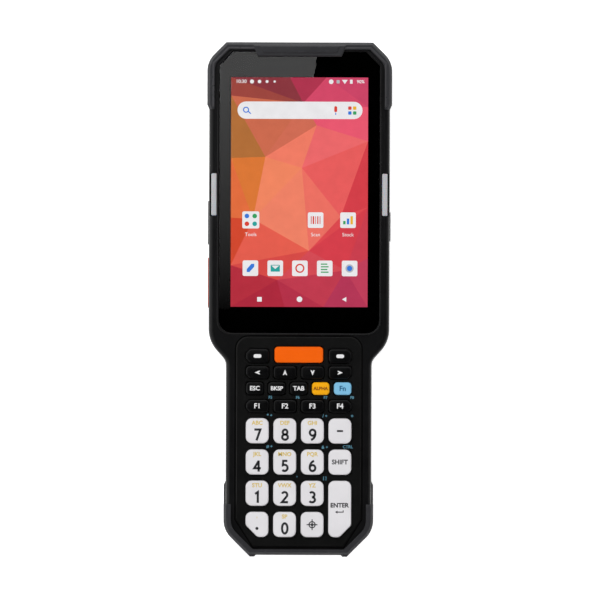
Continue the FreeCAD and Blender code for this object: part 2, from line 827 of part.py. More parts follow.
def make_front_housing():
    body = new_body("front_housing")
    front, parting = "Sizes.body_depth", "Sizes.parting_height"
    shell = add(body, "front_shell", [envelope()], parting, FRONT_DEPTH)
    round_over(body, shell, flat_edges(shell, front), "Sizes.front_radius", "front_edge")
    cut(body, "front_cavity", [cavity()], "Sizes.ceiling_height", "Sizes.ceiling_height")
    cut(body, "front_top_seat", [top_seat("Sizes.bumper_wall")], front, front)
    low_seat = bottom_seat("Sizes.bumper_wall", BOTTOM_SEAT_Y)
    cut(body, "front_low_seat", [low_seat], "Sizes.bottom_bumper_step", "Sizes.bottom_bumper_step")
    short_seat = bottom_seat("Sizes.bumper_wall", BOTTOM_FRONT_SEAT_Y)
    cut(body, "front_short_seat", [short_seat], front, front)

    glass_recess = glass_outline(minus("Sizes.fit_gap"))
    cut(body, "glass_recess", [glass_recess], front, f"{front} - {GASKET_LEVEL}")
    cut(body, "display_opening", [display_outline("Sizes.fit_gap")], front, front)
    panel_recess = panel_outline(minus("Sizes.fit_gap"))
    cut(body, "panel_recess", [panel_recess], front, f"{front} - {PANEL_LEVEL}")
    cut(body, "key_well", [well_outline("0")], front, front)
    slots = [light_bar_outline(side, "Sizes.fit_gap") for side in (1, -1)]
    cut(body, "light_bar_slots", slots, front, "Sizes.light_bar_depth")
    cut_side_windows(body)

    posts = post_outlines(SCREWS[:2], f"({HEAD_X} - Sizes.shell_wall / 2)")
    add(body, "front_posts", posts, parting, f"{DISPLAY_LEVEL} - Sizes.fit_gap - {parting}")
    low_wall = "(Sizes.screw_lower_column + Sizes.post_width / 2)"
    low_height = f"{KEYPAD_BOARD_LEVEL} - Sizes.fit_gap - {parting}"
    add(body, "front_low_posts", post_outlines(SCREWS[2:], low_wall), parting, low_height)
    hole_top = f"({parting} + Sizes.screw_bite + Sizes.screw_clearance)"
    holes = screw_circles("Sizes.screw_shank_radius + Sizes.screw_clearance")
    cut(body, "front_screw_holes", holes, hole_top, hole_top)
    width, height = "Sizes.socket_width + 2 * Sizes.fit_gap", "Sizes.socket_height + 2 * Sizes.fit_gap"
    socket = centred_box("0", SOCKET_LEVEL, width, height)
    cut(body, "socket_opening", [socket], minus(LOWER_FACE_Y), CAVITY_INSET, "XZ_Plane")


def light_bar_outline(side, gap):
    x = f"({side} * (Sizes.light_bar_inner + Sizes.light_bar_width / 2))"
    width, length = f"Sizes.light_bar_width + 2 * {gap}", f"Sizes.light_bar_length + 2 * {gap}"
    return centred_box(x, "Sizes.light_bar_centre", width, length)


def screw_circles(radius):
    return [(screw.x, screw.y, radius) for screw in SCREWS]


def make_rear_housing():
    body = new_body("rear_housing")
    parting, floor = "Sizes.parting_height", "Sizes.floor_thickness"
    shell = add(body, "rear_shell", [envelope()], "0", parting)
    bevel(body, shell, flat_edges(shell, "0"), "Sizes.back_chamfer", "rear_edge")
    cut_bumper_seats(body, parting)
    cut_head_cavity(body, parting, floor)
    cut_battery_bay(body, parting)
    cut_back_openings(body, floor)
    cut_end_openings(body)
    sinks = screw_circles("Sizes.screw_head_radius + Sizes.screw_clearance")
    cut(body, "screw_sinks", sinks, "Sizes.screw_sink", "Sizes.screw_sink")
    holes = screw_circles("Sizes.screw_shank_radius + Sizes.screw_clearance")
    cut(body, "rear_screw_holes", holes, parting, parting)


def cut_bumper_seats(body, parting):
    lip = "Sizes.lip_thickness"
    cut(body, "rear_top_seat", [top_seat("Sizes.bumper_wall")], parting, parting)
    cut(body, "rear_top_lip_seat", [top_seat("Sizes.top_lip")], lip, lip)
    cut(body, "rear_low_seat", [bottom_seat("Sizes.bumper_wall", BOTTOM_SEAT_Y)], parting, parting)
    low_lip = box_corners(minus(BEYOND_X), BEYOND_X, minus(BEYOND_Y), f"Sizes.bottom_lip - {HALF_LENGTH}")
    cut(body, "rear_low_lip_seat", [low_lip], lip, lip)


def cut_head_cavity(body, parting, floor):
    """Room for the scan engine, camera and speaker, with posts for the upper screws."""
    floor_x, wide_x = "Sizes.rear_floor_width / 2", "Sizes.rear_cavity_width / 2"
    low = "Sizes.rear_cavity_bottom"
    deep = box_corners(minus(floor_x), floor_x, low, "Sizes.rear_floor_top")
    cut(body, "rear_deep_cavity", [deep], parting, f"{parting} - {floor}")
    corner_cut = f"(Sizes.top_corner_cut - {CAVITY_INSET} * (2 - sqrt(2)))"
    wide = both_sides(
        [
            (f"{wide_x} - {corner_cut}", CAVITY_TOP_Y),
            (wide_x, f"{CAVITY_TOP_Y} - {corner_cut}"),
            (wide_x, low),
        ]
    )
    cut(body, "rear_wide_cavity", [wide], parting, f"{parting} - Sizes.rear_ledge_height")
    posts = post_outlines(SCREWS[:2], f"({wide_x} + Sizes.shell_wall / 2)")
    add(body, "rear_posts", posts, floor, f"{parting} - {floor}")


def cut_battery_bay(body, parting):
    """The bay for the pack, the notch for its contacts, and the recess and slot of its latch."""
    gap = "Sizes.latch_gap"
    bay_y = f"({BAY_TOP_Y} + {BAY_BOTTOM_Y}) / 2"
    bay = centred_box("0", bay_y, BAY_WIDTH, f"{BAY_TOP_Y} - {BAY_BOTTOM_Y}")
    cut(body, "battery_bay", [bay], BAY_HEIGHT, BAY_HEIGHT)
    cut(body, "contact_notch", [contact_outline("Sizes.fit_gap")], parting, parting)
    far_end = f"{LATCH_Y} + Sizes.latch_length + Sizes.latch_travel + {gap}"
    latch_x, radius = f"Sizes.latch_width / 2 + {gap}", f"Sizes.latch_radius + {gap}"
    recess = box_corners(minus(latch_x), latch_x, f"{LATCH_Y} - {gap}", far_end, radius)
    cut(body, "latch_recess", [recess], LATCH_POCKET_DEPTH, LATCH_POCKET_DEPTH)
    bolt_x = f"Sizes.bolt_width / 2 + {gap}"
    slot = box_corners(minus(bolt_x), bolt_x, f"{BOLT_LEVEL} - {gap}", LATCH_POCKET_DEPTH)
    start = minus(f"{BAY_TOP_Y} - Sizes.battery_gap")
    cut(body, "bolt_slot", [slot], start, "Sizes.latch_wall + 2 * Sizes.battery_gap", "XZ_Plane")


def contact_outline(gap):
    width, length = f"Sizes.contact_block_width + 2 * {gap}", f"Sizes.contact_block_length + 2 * {gap}"
    return centred_box("0", CONTACT_Y, width, length)


def cut_back_openings(body, floor):
    """The speaker's slots, and the recess and openings for the camera."""
    slots = []
    for n in range(5):
        x = f"(-Sizes.speaker_centre + ({n - 2}) * Sizes.slot_pitch)"
        slots.append(centred_box(x, "Sizes.back_row", "Sizes.slot_width", "Sizes.slot_length"))
    cut(body, "speaker_slots", slots, floor, floor)
    depth = "(Sizes.camera_plate_recess + Sizes.camera_plate_thickness)"
    cut(body, "camera_recess", [camera_plate("Sizes.fit_gap")], depth, depth)
    blocks = [camera_block(side, "Sizes.fit_gap") for side in (1, -1)]
    cut(body, "camera_openings", blocks, floor, floor)


def cut_end_openings(body):
    """The scan window's seat at the top end; charging pads and strap pocket at the lower end."""
    seat = scan_outline("Sizes.fit_gap", "Sizes.scan_window_radius + Sizes.fit_gap")
    cut(body, "scan_window_seat", [seat], minus(SCAN_WINDOW_Y), "Sizes.bumper_wall", "XZ_Plane")
    light_path = scan_outline(minus("Sizes.scan_window_ledge"))
    start = minus(f"{CAVITY_TOP_Y} - Sizes.shell_wall")
    cut(body, "scan_light_path", [light_path], start, "2 * Sizes.shell_wall", "XZ_Plane")
    pads = [charge_pad(n, "Sizes.fit_gap") for n in range(6)]
    pad_seat = "Sizes.charge_pad_thickness - Sizes.charge_pad_rise"
    cut(body, "charge_pad_seats", pads, minus(CORE_BOTTOM_Y), pad_seat, "XZ_Plane")
    row, depth = "(-Sizes.strap_row)", "Sizes.strap_pocket_depth"
    width, length = "Sizes.strap_pocket_width", "Sizes.strap_pocket_length"
    pocket = centred_box("0", row, width, length, "Sizes.strap_pocket_radius")
    cut(body, "strap_pocket", [pocket], depth, depth)
    hole = (row, "Sizes.strap_pin_level", "Sizes.strap_pin_radius + Sizes.strap_pin_clearance")
    reach = "(Sizes.strap_pocket_width / 2 + Sizes.strap_pin_seat + Sizes.fit_gap)"
    cut(body, "strap_pin_seats", [hole], reach, f"2 * {reach}", "YZ_Plane")


def camera_y(side):
    return f"(Sizes.back_row + ({side}) * Sizes.camera_spacing / 2)"


def camera_block(side, gap):
    size = f"Sizes.{'camera' if side > 0 else 'flash'}_size + 2 * {gap}"
    return centred_box("Sizes.camera_centre", camera_y(side), size, size)


def camera_plate(gap):
    return centred_box(
        "Sizes.camera_centre",
        "Sizes.back_row",
        f"Sizes.camera_plate_width + 2 * {gap}",
        f"Sizes.camera_plate_length + 2 * {gap}",
        f"Sizes.camera_plate_radius + {gap}",
    )


def scan_outline(margin, *radius):
    """The scan window seen from the top end: X across and Z up."""
    width = f"Sizes.scan_window_width + 2 * {margin}"
    height = f"Sizes.scan_window_height + 2 * {margin}"
    return centred_box("0", "Sizes.scan_window_level", width, height, *radius)


def charge_pad(number, gap):
    """One charging pad seen from the lower end: X across and Z up."""
    x = f"({number - 2.5} * Sizes.charge_pad_pitch)"
    width, height = f"Sizes.charge_pad_width + 2 * {gap}", f"Sizes.charge_pad_height + 2 * {gap}"
    return centred_box(x, "Sizes.charge_level", width, height)


# The rubber bumpers, let into the housings' ends.


def bumper_block(body, name, corners, seat_y):
    """A solid block with its outer edges bevelled, back and front."""
    block = add(body, name + "_block", [corners], "0", BUMPER_FRONT)
    back = bevel(
        body, block, flat_edges(block, "0", seat_y), "Sizes.bumper_back_chamfer", name + "_back_edge"
    )
    front = flat_edges(back, BUMPER_FRONT, seat_y)
    return bevel(body, back, front, "Sizes.bumper_front_chamfer", name + "_front_edge")


def make_top_bumper():
    body = new_body("top_bumper")
    wall = "Sizes.bumper_wall"
    ramp = [(TOP_BUMPER_X, f"{TOP_SEAT_Y} + Sizes.bumper_ramp"), (HEAD_X, TOP_SEAT_Y)]
    bumper_block(body, "top", both_sides(top_end("0") + ramp), TOP_SEAT_Y)
    below = f"{TOP_SEAT_Y} - {wall}"
    core = both_sides(top_end(wall) + [(f"{TOP_BUMPER_X} - {wall}", below)])
    cut(body, "top_core", [core], BUMPER_FRONT, f"{BUMPER_FRONT} - Sizes.lip_thickness")
    lip = "Sizes.top_lip"
    opening = both_sides(top_end(lip) + [(f"{TOP_BUMPER_X} - {lip}", below)])
    cut(body, "top_lip_opening", [opening], BUMPER_FRONT, BUMPER_FRONT)

    bridge_x = "Sizes.bridge_width / 2"
    high_y = f"{HALF_LENGTH} - Sizes.bumper_front_chamfer"
    low_y = f"{HALF_LENGTH} - Sizes.bridge_overhang"
    bridge = both_sides([(f"{bridge_x} + Sizes.bridge_slant", high_y), (bridge_x, low_y)])
    tab = add(body, "bridge", [bridge], "Sizes.body_depth", "Sizes.bridge_rise")
    edges = flat_edges(tab, "Sizes.body_depth + Sizes.bridge_rise")
    bevel(body, tab, edges, "Sizes.bridge_bevel", "bridge_edge")

    mouth = scan_outline(minus("Sizes.scan_mouth_lap"), "Sizes.scan_window_radius")
    start = minus(f"{HALF_LENGTH} - 2 * {wall}")
    hole = cut(body, "scan_mouth", [mouth], start, f"3 * {wall}", "XZ_Plane")
    bevel(body, hole, mouth_edges(hole), "Sizes.scan_mouth_flare", "scan_mouth_edge")


def mouth_edges(feature):
    """The edges of the scan mouth on the bumper's outer face."""
    names = edges_where(feature, YMin=HALF_LENGTH, YMax=HALF_LENGTH)
    reach = value_of("Sizes.scan_window_width") / 2
    low = value_of("Sizes.scan_window_level - Sizes.scan_window_height / 2")
    high = value_of("Sizes.scan_window_level + Sizes.scan_window_height / 2")
    boxes = {name: feature.Shape.getElement(name).BoundBox for name in names}
    return [n for n, b in boxes.items() if max(-b.XMin, b.XMax) < reach and b.ZMin > low and b.ZMax < high]


def make_bottom_bumper():
    body = new_body("bottom_bumper")
    wall, lip = "Sizes.bumper_wall", "Sizes.lip_thickness"
    low_x = f"({BOTTOM_BUMPER_X} - Sizes.bottom_corner_cut)"
    side_y = f"Sizes.bottom_corner_cut - {HALF_LENGTH}"
    half = [
        (GRIP_X, BOTTOM_SEAT_Y),
        (BOTTOM_BUMPER_X, f"{BOTTOM_SEAT_Y} - Sizes.bumper_ramp"),
        (BOTTOM_BUMPER_X, side_y, "Sizes.bottom_corner_radius"),
        (f"{low_x} + Sizes.horn_rise", LOWER_FACE_Y),
    ]
    bumper_block(body, "bottom", both_sides(half), BOTTOM_SEAT_Y)
    horns = []
    for side in (1, -1):
        corners = [
            (f"{low_x} + Sizes.horn_rise", LOWER_FACE_Y),
            (low_x, minus(HALF_LENGTH)),
            (f"{low_x} - Sizes.horn_width", minus(HALF_LENGTH)),
            (f"{low_x} - Sizes.horn_width - Sizes.horn_rise", LOWER_FACE_Y),
        ]
        horns.append([(f"{side} * ({x})", y) for x, y in corners])
    height = f"{BUMPER_FRONT} - Sizes.bumper_back_chamfer - Sizes.bumper_front_chamfer"
    add(body, "horns", horns, "Sizes.bumper_back_chamfer", height)

    above = f"{BOTTOM_SEAT_Y} + {wall}"
    side, end = bottom_end(wall)
    core = both_sides([(side[0], above), side, end])
    cut(body, "bottom_core", [core], BUMPER_FRONT, f"{BUMPER_FRONT} - {lip}")
    lip_end = (f"{end[0]} + Sizes.bottom_lip - {wall}", f"Sizes.bottom_lip - {HALF_LENGTH}")
    opening = both_sides([(side[0], above), side, lip_end])
    cut(body, "bottom_lip_opening", [opening], lip, lip)
    upper = box_corners(minus(BEYOND_X), BEYOND_X, BOTTOM_FRONT_SEAT_Y, above)
    step = f"{BUMPER_FRONT} - Sizes.bottom_bumper_step"
    cut(body, "bottom_front_step", [upper], BUMPER_FRONT, step)

    cover_x = "Sizes.cover_width / 2 + Sizes.cover_gap"
    cover_top = f"{COVER_BOTTOM} + Sizes.cover_height + Sizes.cover_gap"
    cover = box_corners(minus(cover_x), cover_x, f"{COVER_BOTTOM} - Sizes.cover_gap", cover_top)
    width, height = "Sizes.charge_window_width", "Sizes.charge_window_height"
    charge = centred_box("0", "Sizes.charge_level", width, height, "Sizes.charge_window_radius")
    cut(body, "end_openings", [cover, charge], HALF_LENGTH, f"2 * {wall}", "XZ_Plane")


# The display stack and the keypad's layers.


def make_touch_window():
    body = new_body("touch_window")
    add(body, "glass", [glass_outline("0")], GLASS_LEVEL, "Sizes.glass_thickness")


def make_window_gasket():
    body = new_body("window_gasket")
    shapes = [glass_outline("Sizes.gasket_inset"), display_outline("Sizes.fit_gap")]
    add(body, "gasket", shapes, GASKET_LEVEL, "Sizes.gasket_thickness")


def make_display_panel():
    body = new_body("display_panel")
    add(body, "display", [display_outline("0")], DISPLAY_LEVEL, "Sizes.display_thickness")


def make_keypad_panel():
    body = new_body("keypad_panel")
    plate = add(body, "face_plate", [panel_outline("0")], PANEL_LEVEL, "Sizes.panel_thickness")
    bevel(body, plate, flat_edges(plate, PANEL_TOP_LEVEL), "Sizes.panel_chamfer", "face_plate_edge")
    for number, keys in enumerate(KEY_ROWS):
        holes = [key_outline(key, "Sizes.key_clearance") for key in keys]
        cut(body, f"key_holes_{number}", holes, PANEL_TOP_LEVEL, "Sizes.panel_thickness")


def make_keypad_mat():
    body = new_body("keypad_mat")
    add(body, "mat", [well_outline("Sizes.mat_overlap")], MAT_LEVEL, "Sizes.mat_thickness")
    for number, keys in enumerate(KEY_ROWS):
        domes = [centred_box(key.x, key.y, "Sizes.dome_width", "Sizes.dome_length") for key in keys]
        add(body, f"domes_{number}", domes, MAT_LEVEL, f"{DOME_TOP} - {MAT_LEVEL}")


def make_keypad_board():
    body = new_body("keypad_board")
    board = well_outline("Sizes.mat_overlap")
    add(body, "contact_board", [board], KEYPAD_BOARD_LEVEL, "Sizes.keypad_board_thickness")


def make_light_bar(name, side):
    body = new_body(name)
    level = "(Sizes.body_depth - Sizes.light_bar_depth)"
    lens = add(body, name + "_lens", [light_bar_outline(side, "0")], level, "Sizes.light_bar_depth")
    outer = f"{side} * (Sizes.light_bar_inner + Sizes.light_bar_width)"
    edges = edges_where(lens, XMin=outer, XMax=outer, ZMin="Sizes.body_depth")
    round_over(body, lens, edges, "Sizes.light_bar_radius", name + "_edge")


# The electronics.


def make_main_board():
    """A board that rests on the battery deck, with shield cans and the side keys' switches."""
    body = new_body("main_board")
    head_x, grip_x = "(Sizes.board_head_width / 2)", "Sizes.board_grip_width / 2"
    tail_x = "Sizes.board_tail_width / 2"
    plan = both_sides(
        [
            (head_x, "Sizes.board_head_top"),
            (head_x, "-Sizes.board_head_bottom"),
            (grip_x, "-Sizes.board_head_bottom"),
            (grip_x, "-Sizes.board_grip_bottom"),
            (tail_x, "-Sizes.board_grip_bottom"),
            (tail_x, f"{CAVITY_BOTTOM_Y} + Sizes.board_end_gap"),
        ]
    )
    add(body, "circuit_board", [plan], "Sizes.parting_height", "Sizes.board_thickness")
    cans = [
        centred_box("0", f"({sign} * Sizes.shield_centre)", "Sizes.shield_width", "Sizes.shield_length")
        for sign in (1, -1)
    ]
    add(body, "shield_cans", cans, BOARD_TOP, "Sizes.shield_height")
    switches = []
    root = f"({head_x} - Sizes.switch_overlap)"
    for key in SIDE_KEYS:
        left, right = (root, SWITCH_X) if key.side > 0 else (minus(SWITCH_X), minus(root))
        rocks = key.name == "volume_rocker"
        for sign in (1, -1) if rocks else (0,):
            y = f"({key.centre} + ({sign}) * Sizes.rocker_switch_offset)"
            low, high = f"{y} - Sizes.switch_length / 2", f"{y} + Sizes.switch_length / 2"
            switches.append(box_corners(left, right, low, high))
    add(body, "side_switches", switches, BOARD_TOP, "Sizes.switch_height")


def make_scan_engine():
    body = new_body("scan_engine")
    lens_face = "(Sizes.rear_floor_top - Sizes.fit_gap)"
    front = f"({lens_face} - Sizes.engine_lens_rise)"
    half = "Sizes.engine_width / 2"
    block = box_corners(minus(half), half, f"{front} - Sizes.engine_length", front)
    add(body, "engine_block", [block], "Sizes.floor_thickness", "Sizes.engine_height")
    lenses = [
        (f"{side} * Sizes.engine_lens_offset", "Sizes.scan_window_level", "Sizes.engine_lens_radius")
        for side in (1, -1)
    ]
    add(body, "engine_lenses", lenses, minus(lens_face), "2 * Sizes.engine_lens_rise", "XZ_Plane")


def make_scan_window():
    body = new_body("scan_window")
    pane = scan_outline("0", "Sizes.scan_window_radius")
    add(body, "pane", [pane], minus(CORE_TOP_Y), "Sizes.scan_window_thickness", "XZ_Plane")


def make_speaker():
    body = new_body("speaker")
    width, length = "Sizes.speaker_width", "Sizes.speaker_length"
    block = centred_box("(-Sizes.speaker_centre)", "Sizes.back_row", width, length)
    add(body, "speaker_block", [block], "Sizes.floor_thickness", "Sizes.speaker_height")


def make_receiver():
    body = new_body("receiver")
    y = f"({CAVITY_TOP_Y} - Sizes.receiver_inset)"
    width, length = "Sizes.receiver_width", "Sizes.receiver_length"
    block = centred_box("0", y, width, length)
    level = "Sizes.ceiling_height - Sizes.receiver_height"
    add(body, "receiver_block", [block], level, "Sizes.receiver_height")


def make_camera_module():
    """A cover plate flush with the back, with the camera's and the flash's blocks behind it."""
    body = new_body("camera_module")
    recess, thickness = "Sizes.camera_plate_recess", "Sizes.camera_plate_thickness"
    add(body, "camera_plate", [camera_plate("0")], recess, thickness)
    add(body, "camera_block", [camera_block(1, "0")], f"{recess} + {thickness}", "Sizes.camera_height")
    add(body, "flash_block", [camera_block(-1, "0")], f"{recess} + {thickness}", "Sizes.flash_height")
    lens = ("Sizes.camera_centre", camera_y(1), "Sizes.lens_radius")
    cut(body, "camera_lens", [lens], f"{recess} + Sizes.lens_depth", f"{recess} + Sizes.lens_depth")


def make_battery_contacts():
    body = new_body("battery_contacts")
    add(body, "contact_block", [contact_outline("0")], BAY_HEIGHT, f"Sizes.parting_height - {BAY_HEIGHT}")


def make_usb_socket():
    """A round-ended metal shell with a contact tongue, on the end of the main board."""
    body = new_body("usb_socket")
    back = f"({CORE_BOTTOM_Y} + Sizes.socket_length)"
    wall, radius = "Sizes.socket_wall", "Sizes.socket_radius"
    shell = centred_box("0", SOCKET_LEVEL, "Sizes.socket_width", "Sizes.socket_height", radius)
    add(body, "socket_shell", [shell], minus(back), "Sizes.socket_length", "XZ_Plane")
    width, height = f"Sizes.socket_width - 2 * {wall}", f"Sizes.socket_height - 2 * {wall}"
    mouth = centred_box("0", SOCKET_LEVEL, width, height, f"Sizes.socket_radius - {wall}")
    cut(body, "socket_mouth", [mouth], minus(CORE_BOTTOM_Y), "Sizes.socket_depth", "XZ_Plane")
    tongue = centred_box("0", SOCKET_LEVEL, "Sizes.tongue_width", "Sizes.tongue_height")
    length = "Sizes.socket_length - Sizes.tongue_inset"
    add(body, "socket_tongue", [tongue], minus(back), length, "XZ_Plane")


def make_charging_contacts():
    body = new_body("charging_contacts")
    pads = [charge_pad(n, "0") for n in range(6)]
    back = f"{CORE_BOTTOM_Y} + Sizes.charge_pad_thickness - Sizes.charge_pad_rise"
    add(body, "charge_pads", pads, minus(back), "Sizes.charge_pad_thickness", "XZ_Plane")


def make_housing_screws():
    body = new_body("housing_screws")
    sink, head = "Sizes.screw_sink", "Sizes.screw_head_height"
    add(body, "screw_heads", screw_circles("Sizes.screw_head_radius"), f"{sink} - {head}", head)
    shank_length = f"Sizes.parting_height + Sizes.screw_bite - {sink}"
    add(body, "screw_shanks", screw_circles("Sizes.screw_shank_radius"), sink, shank_length)


def make_strap_pin():
    body = new_body("strap_pin")
    reach = "(Sizes.strap_pocket_width / 2 + Sizes.strap_pin_seat)"
    pin = ("(-Sizes.strap_row)", "Sizes.strap_pin_level", "Sizes.strap_pin_radius")
    add(body, "pin", [pin], minus(reach), f"2 * {reach}", "YZ_Plane")


# The battery, its latch, and the cover at the lower end.


def make_battery_pack():
    """A pack that swings out about its lower heel; its upper end slants so that it clears the bay."""
    body = new_body("battery_pack")
    low, lift, top_y = "-Sizes.battery_bottom", "Sizes.battery_lift", "Sizes.battery_top"
    profile = [
        (low, PACK_TOP),
        (f"{top_y} - Sizes.battery_slant", PACK_TOP),
        (top_y, lift),
        (low, lift, "Sizes.battery_heel_radius"),
    ]
    half = "Sizes.battery_width / 2"
    block = add(body, "pack", [profile], minus(half), "Sizes.battery_width", "YZ_Plane")
    long_edges = edges_where(block, ZMin=lift, ZMax=lift, YMax=top_y)
    across = edges_where(block, YMin=top_y)
    edges = [edge for edge in long_edges if edge not in across]
    bevel(body, block, edges, "Sizes.battery_edge", "pack_edge")
    notch_x = "Sizes.bolt_width / 2 + 2 * Sizes.latch_gap"
    floor = f"{BOLT_LEVEL} - Sizes.latch_gap"
    notch = box_corners(minus(notch_x), notch_x, floor, f"{PACK_TOP} + Sizes.battery_gap")
    start = minus(f"{top_y} - Sizes.battery_notch")
    cut(body, "bolt_notch", [notch], start, "2 * Sizes.battery_notch", "XZ_Plane")


def make_battery_latch():
    """A ribbed slider with a bolt that reaches through the wall into the battery's notch."""
    body = new_body("battery_latch")
    half, bolt_x = "Sizes.latch_width / 2", "Sizes.bolt_width / 2"
    middle = f"({LATCH_Y} + Sizes.latch_length / 2)"
    plate = box_corners(minus(half), half, LATCH_Y, f"{LATCH_Y} + Sizes.latch_length", "Sizes.latch_radius")
    add(body, "latch_plate", [plate], "Sizes.latch_lift", "Sizes.latch_height")
    bolt = box_corners(minus(bolt_x), bolt_x, f"{BAY_TOP_Y} - Sizes.bolt_reach", middle)
    add(body, "bolt", [bolt], BOLT_LEVEL, "Sizes.bolt_height")
    rib_length = "Sizes.latch_width - 4 * Sizes.rib_width"
    ribs = [
        centred_box("0", f"({middle} + ({n - 1}) * Sizes.rib_pitch)", rib_length, "Sizes.rib_width")
        for n in range(3)
    ]
    add(body, "ribs", ribs, "Sizes.latch_lift - Sizes.rib_rise", "Sizes.rib_rise")


def make_io_cover():
    """The flap over the socket, rounded about its hinge along its lower edge."""
    body = new_body("io_cover")
    inner = f"({LOWER_FACE_Y} + Sizes.cover_thickness)"
    top = f"({COVER_BOTTOM} + Sizes.cover_height)"
    profile = [
        (LOWER_FACE_Y, top),
        (inner, top),
        (inner, COVER_BOTTOM, "Sizes.cover_edge_radius"),
        (LOWER_FACE_Y, COVER_BOTTOM, "Sizes.cover_edge_radius"),
    ]
    half = "Sizes.cover_width / 2"
    flap = add(body, "flap", [profile], minus(half), "Sizes.cover_width", "YZ_Plane")
    edges = edges_where(flap, YMin=LOWER_FACE_Y, YMax=LOWER_FACE_Y, ZMin=top)
    bevel(body, flap, edges, "Sizes.cover_chamfer", "flap_edge")


make_front_housing()
make_rear_housing()
make_top_bumper()
make_bottom_bumper()
make_touch_window()
make_window_gasket()
make_display_panel()
make_keypad_panel()
make_keypad_mat()
make_keypad_board()
make_light_bar("left_light_bar", -1)
make_light_bar("right_light_bar", 1)
make_main_board()
make_scan_engine()
make_scan_window()
make_speaker()
make_receiver()
make_camera_module()
make_battery_contacts()
make_usb_socket()
make_charging_contacts()
make_housing_screws()
make_strap_pin()
make_battery_pack()
make_battery_latch()
make_io_cover()
for side_key in SIDE_KEYS:
    make_side_key(side_key)
for key_row in KEY_ROWS:
    for one_key in key_row:
        make_key(one_key)
doc.recompute()

faults = [o.Name for o in doc.Objects if {"Invalid", "Error"} & set(o.State)]
for body in subparts:
    if body.Shape.isNull() or not body.Shape.isValid() or not body.Shape.Solids:
        faults.append(body.Label)
if faults:
    raise SystemExit(f"These objects failed: {sorted(set(faults))}")

os.makedirs("parts", exist_ok=True)
for body in subparts:
    body.Shape.exportStep(f"parts/{body.Label}.step")
    print(body.Label, len(body.Shape.Solids), round(body.Shape.Volume, 1))
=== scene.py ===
import math

import bmesh
import bpy
from mathutils import Matrix, Vector


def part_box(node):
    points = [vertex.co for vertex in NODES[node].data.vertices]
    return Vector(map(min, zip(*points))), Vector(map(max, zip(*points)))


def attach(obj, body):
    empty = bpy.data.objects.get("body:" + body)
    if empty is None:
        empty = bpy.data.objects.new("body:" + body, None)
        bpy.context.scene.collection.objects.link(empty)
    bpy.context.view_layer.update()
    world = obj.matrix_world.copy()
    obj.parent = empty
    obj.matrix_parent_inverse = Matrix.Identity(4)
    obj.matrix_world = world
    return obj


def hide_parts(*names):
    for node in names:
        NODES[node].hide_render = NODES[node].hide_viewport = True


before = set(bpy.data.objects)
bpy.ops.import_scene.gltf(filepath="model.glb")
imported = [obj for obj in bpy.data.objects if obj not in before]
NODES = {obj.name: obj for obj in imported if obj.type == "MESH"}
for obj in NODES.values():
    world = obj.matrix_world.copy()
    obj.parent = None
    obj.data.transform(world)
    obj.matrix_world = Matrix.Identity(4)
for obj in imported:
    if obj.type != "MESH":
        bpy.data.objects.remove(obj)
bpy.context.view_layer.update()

MM = 0.001

# Materials. Each gets its grain, mottling and gloss from nodes; constants sit on the shader itself.
# Noise scales are in cells to the metre.
MOTTLE = 90
SHEEN = 160
GRAIN_DEPTH = 0.0001


def rgb(hex_colour):
    """A display colour such as "#ff6a00" as linear light."""
    parts = [int(hex_colour[i : i + 2], 16) / 255 for i in (1, 3, 5)]
    return [p / 12.92 if p <= 0.04045 else ((p + 0.055) / 1.055) ** 2.4 for p in parts] + [1.0]


def shade(colour, factor, lift=0.0):
    """A linear colour made darker or lighter, with its alpha left at 1."""
    return [min(1, c * factor + lift) for c in colour[:3]] + [1]


class Nodes:
    """A node tree, with short calls that add nodes with their links and numbers."""

    def __init__(self, tree):
        self.tree = tree

    def node(self, kind, links=(), **settings):
        made = self.tree.nodes.new(kind)
        for key, value in settings.items():
            setattr(made, key, value)
        for socket, value in dict(links).items():
            if isinstance(value, bpy.types.NodeSocket):
                self.tree.links.new(value, made.inputs[socket])
            else:
                made.inputs[socket].default_value = value
        return made

    def either(self, first, second):
        """1 where one of two ray tests holds."""
        return self.node("ShaderNodeMath", {0: first, 1: second}, operation="MAXIMUM").outputs[0]


class Graph(Nodes):
    """A material's node tree round its Principled shader."""

    def __init__(self, name):
        self.material = bpy.data.materials.new(name)
        self.material.use_nodes = True
        super().__init__(self.material.node_tree)
        self.shader = self.tree.nodes["Principled BSDF"]

    def noise(self, scale, detail=3.0, rough=0.55):
        place = self.node("ShaderNodeTexCoord")
        links = {"Vector": place.outputs["Object"], "Scale": scale, "Detail": detail, "Roughness": rough}
        return self.node("ShaderNodeTexNoise", links).outputs["Fac"]

    def ramp(self, factor, stops):
        ramp = self.node("ShaderNodeValToRGB", {"Fac": factor})
        points = ramp.color_ramp.elements
        while len(points) < len(stops):
            points.new(0.5)
        for point, (position, colour) in zip(points, stops):
            point.position = position
            point.color = colour
        return ramp.outputs["Color"]

    def grey_ramp(self, factor, low, high, start=0.3, end=0.7):
        return self.ramp(factor, [(start, (low, low, low, 1)), (end, (high, high, high, 1))])

    def mix(self, factor, first, second):
        """A mix of two colours; 6, 7 and 2 are the colour sockets of the Mix node."""
        links = {"Factor": factor, 6: first, 7: second}
        return self.node("ShaderNodeMix", links, data_type="RGBA").outputs[2]

    def link(self, socket, value):
        self.tree.links.new(value, self.shader.inputs[socket])

    def fix(self, numbers):
        for socket, value in numbers.items():
            self.shader.inputs[socket].default_value = value

    def bump(self, height, strength, edge=0.0):
        """Grain on the surface; edge is the radius by which sharp edges catch the light."""
        links = {"Height": height, "Strength": strength, "Distance": GRAIN_DEPTH}
        node = self.node("ShaderNodeBump", links)
        if edge:
            rounded = self.node("ShaderNodeBevel", {"Radius": edge}, samples=4)
            self.tree.links.new(rounded.outputs["Normal"], node.inputs["Normal"])
        self.link("Normal", node.outputs["Normal"])


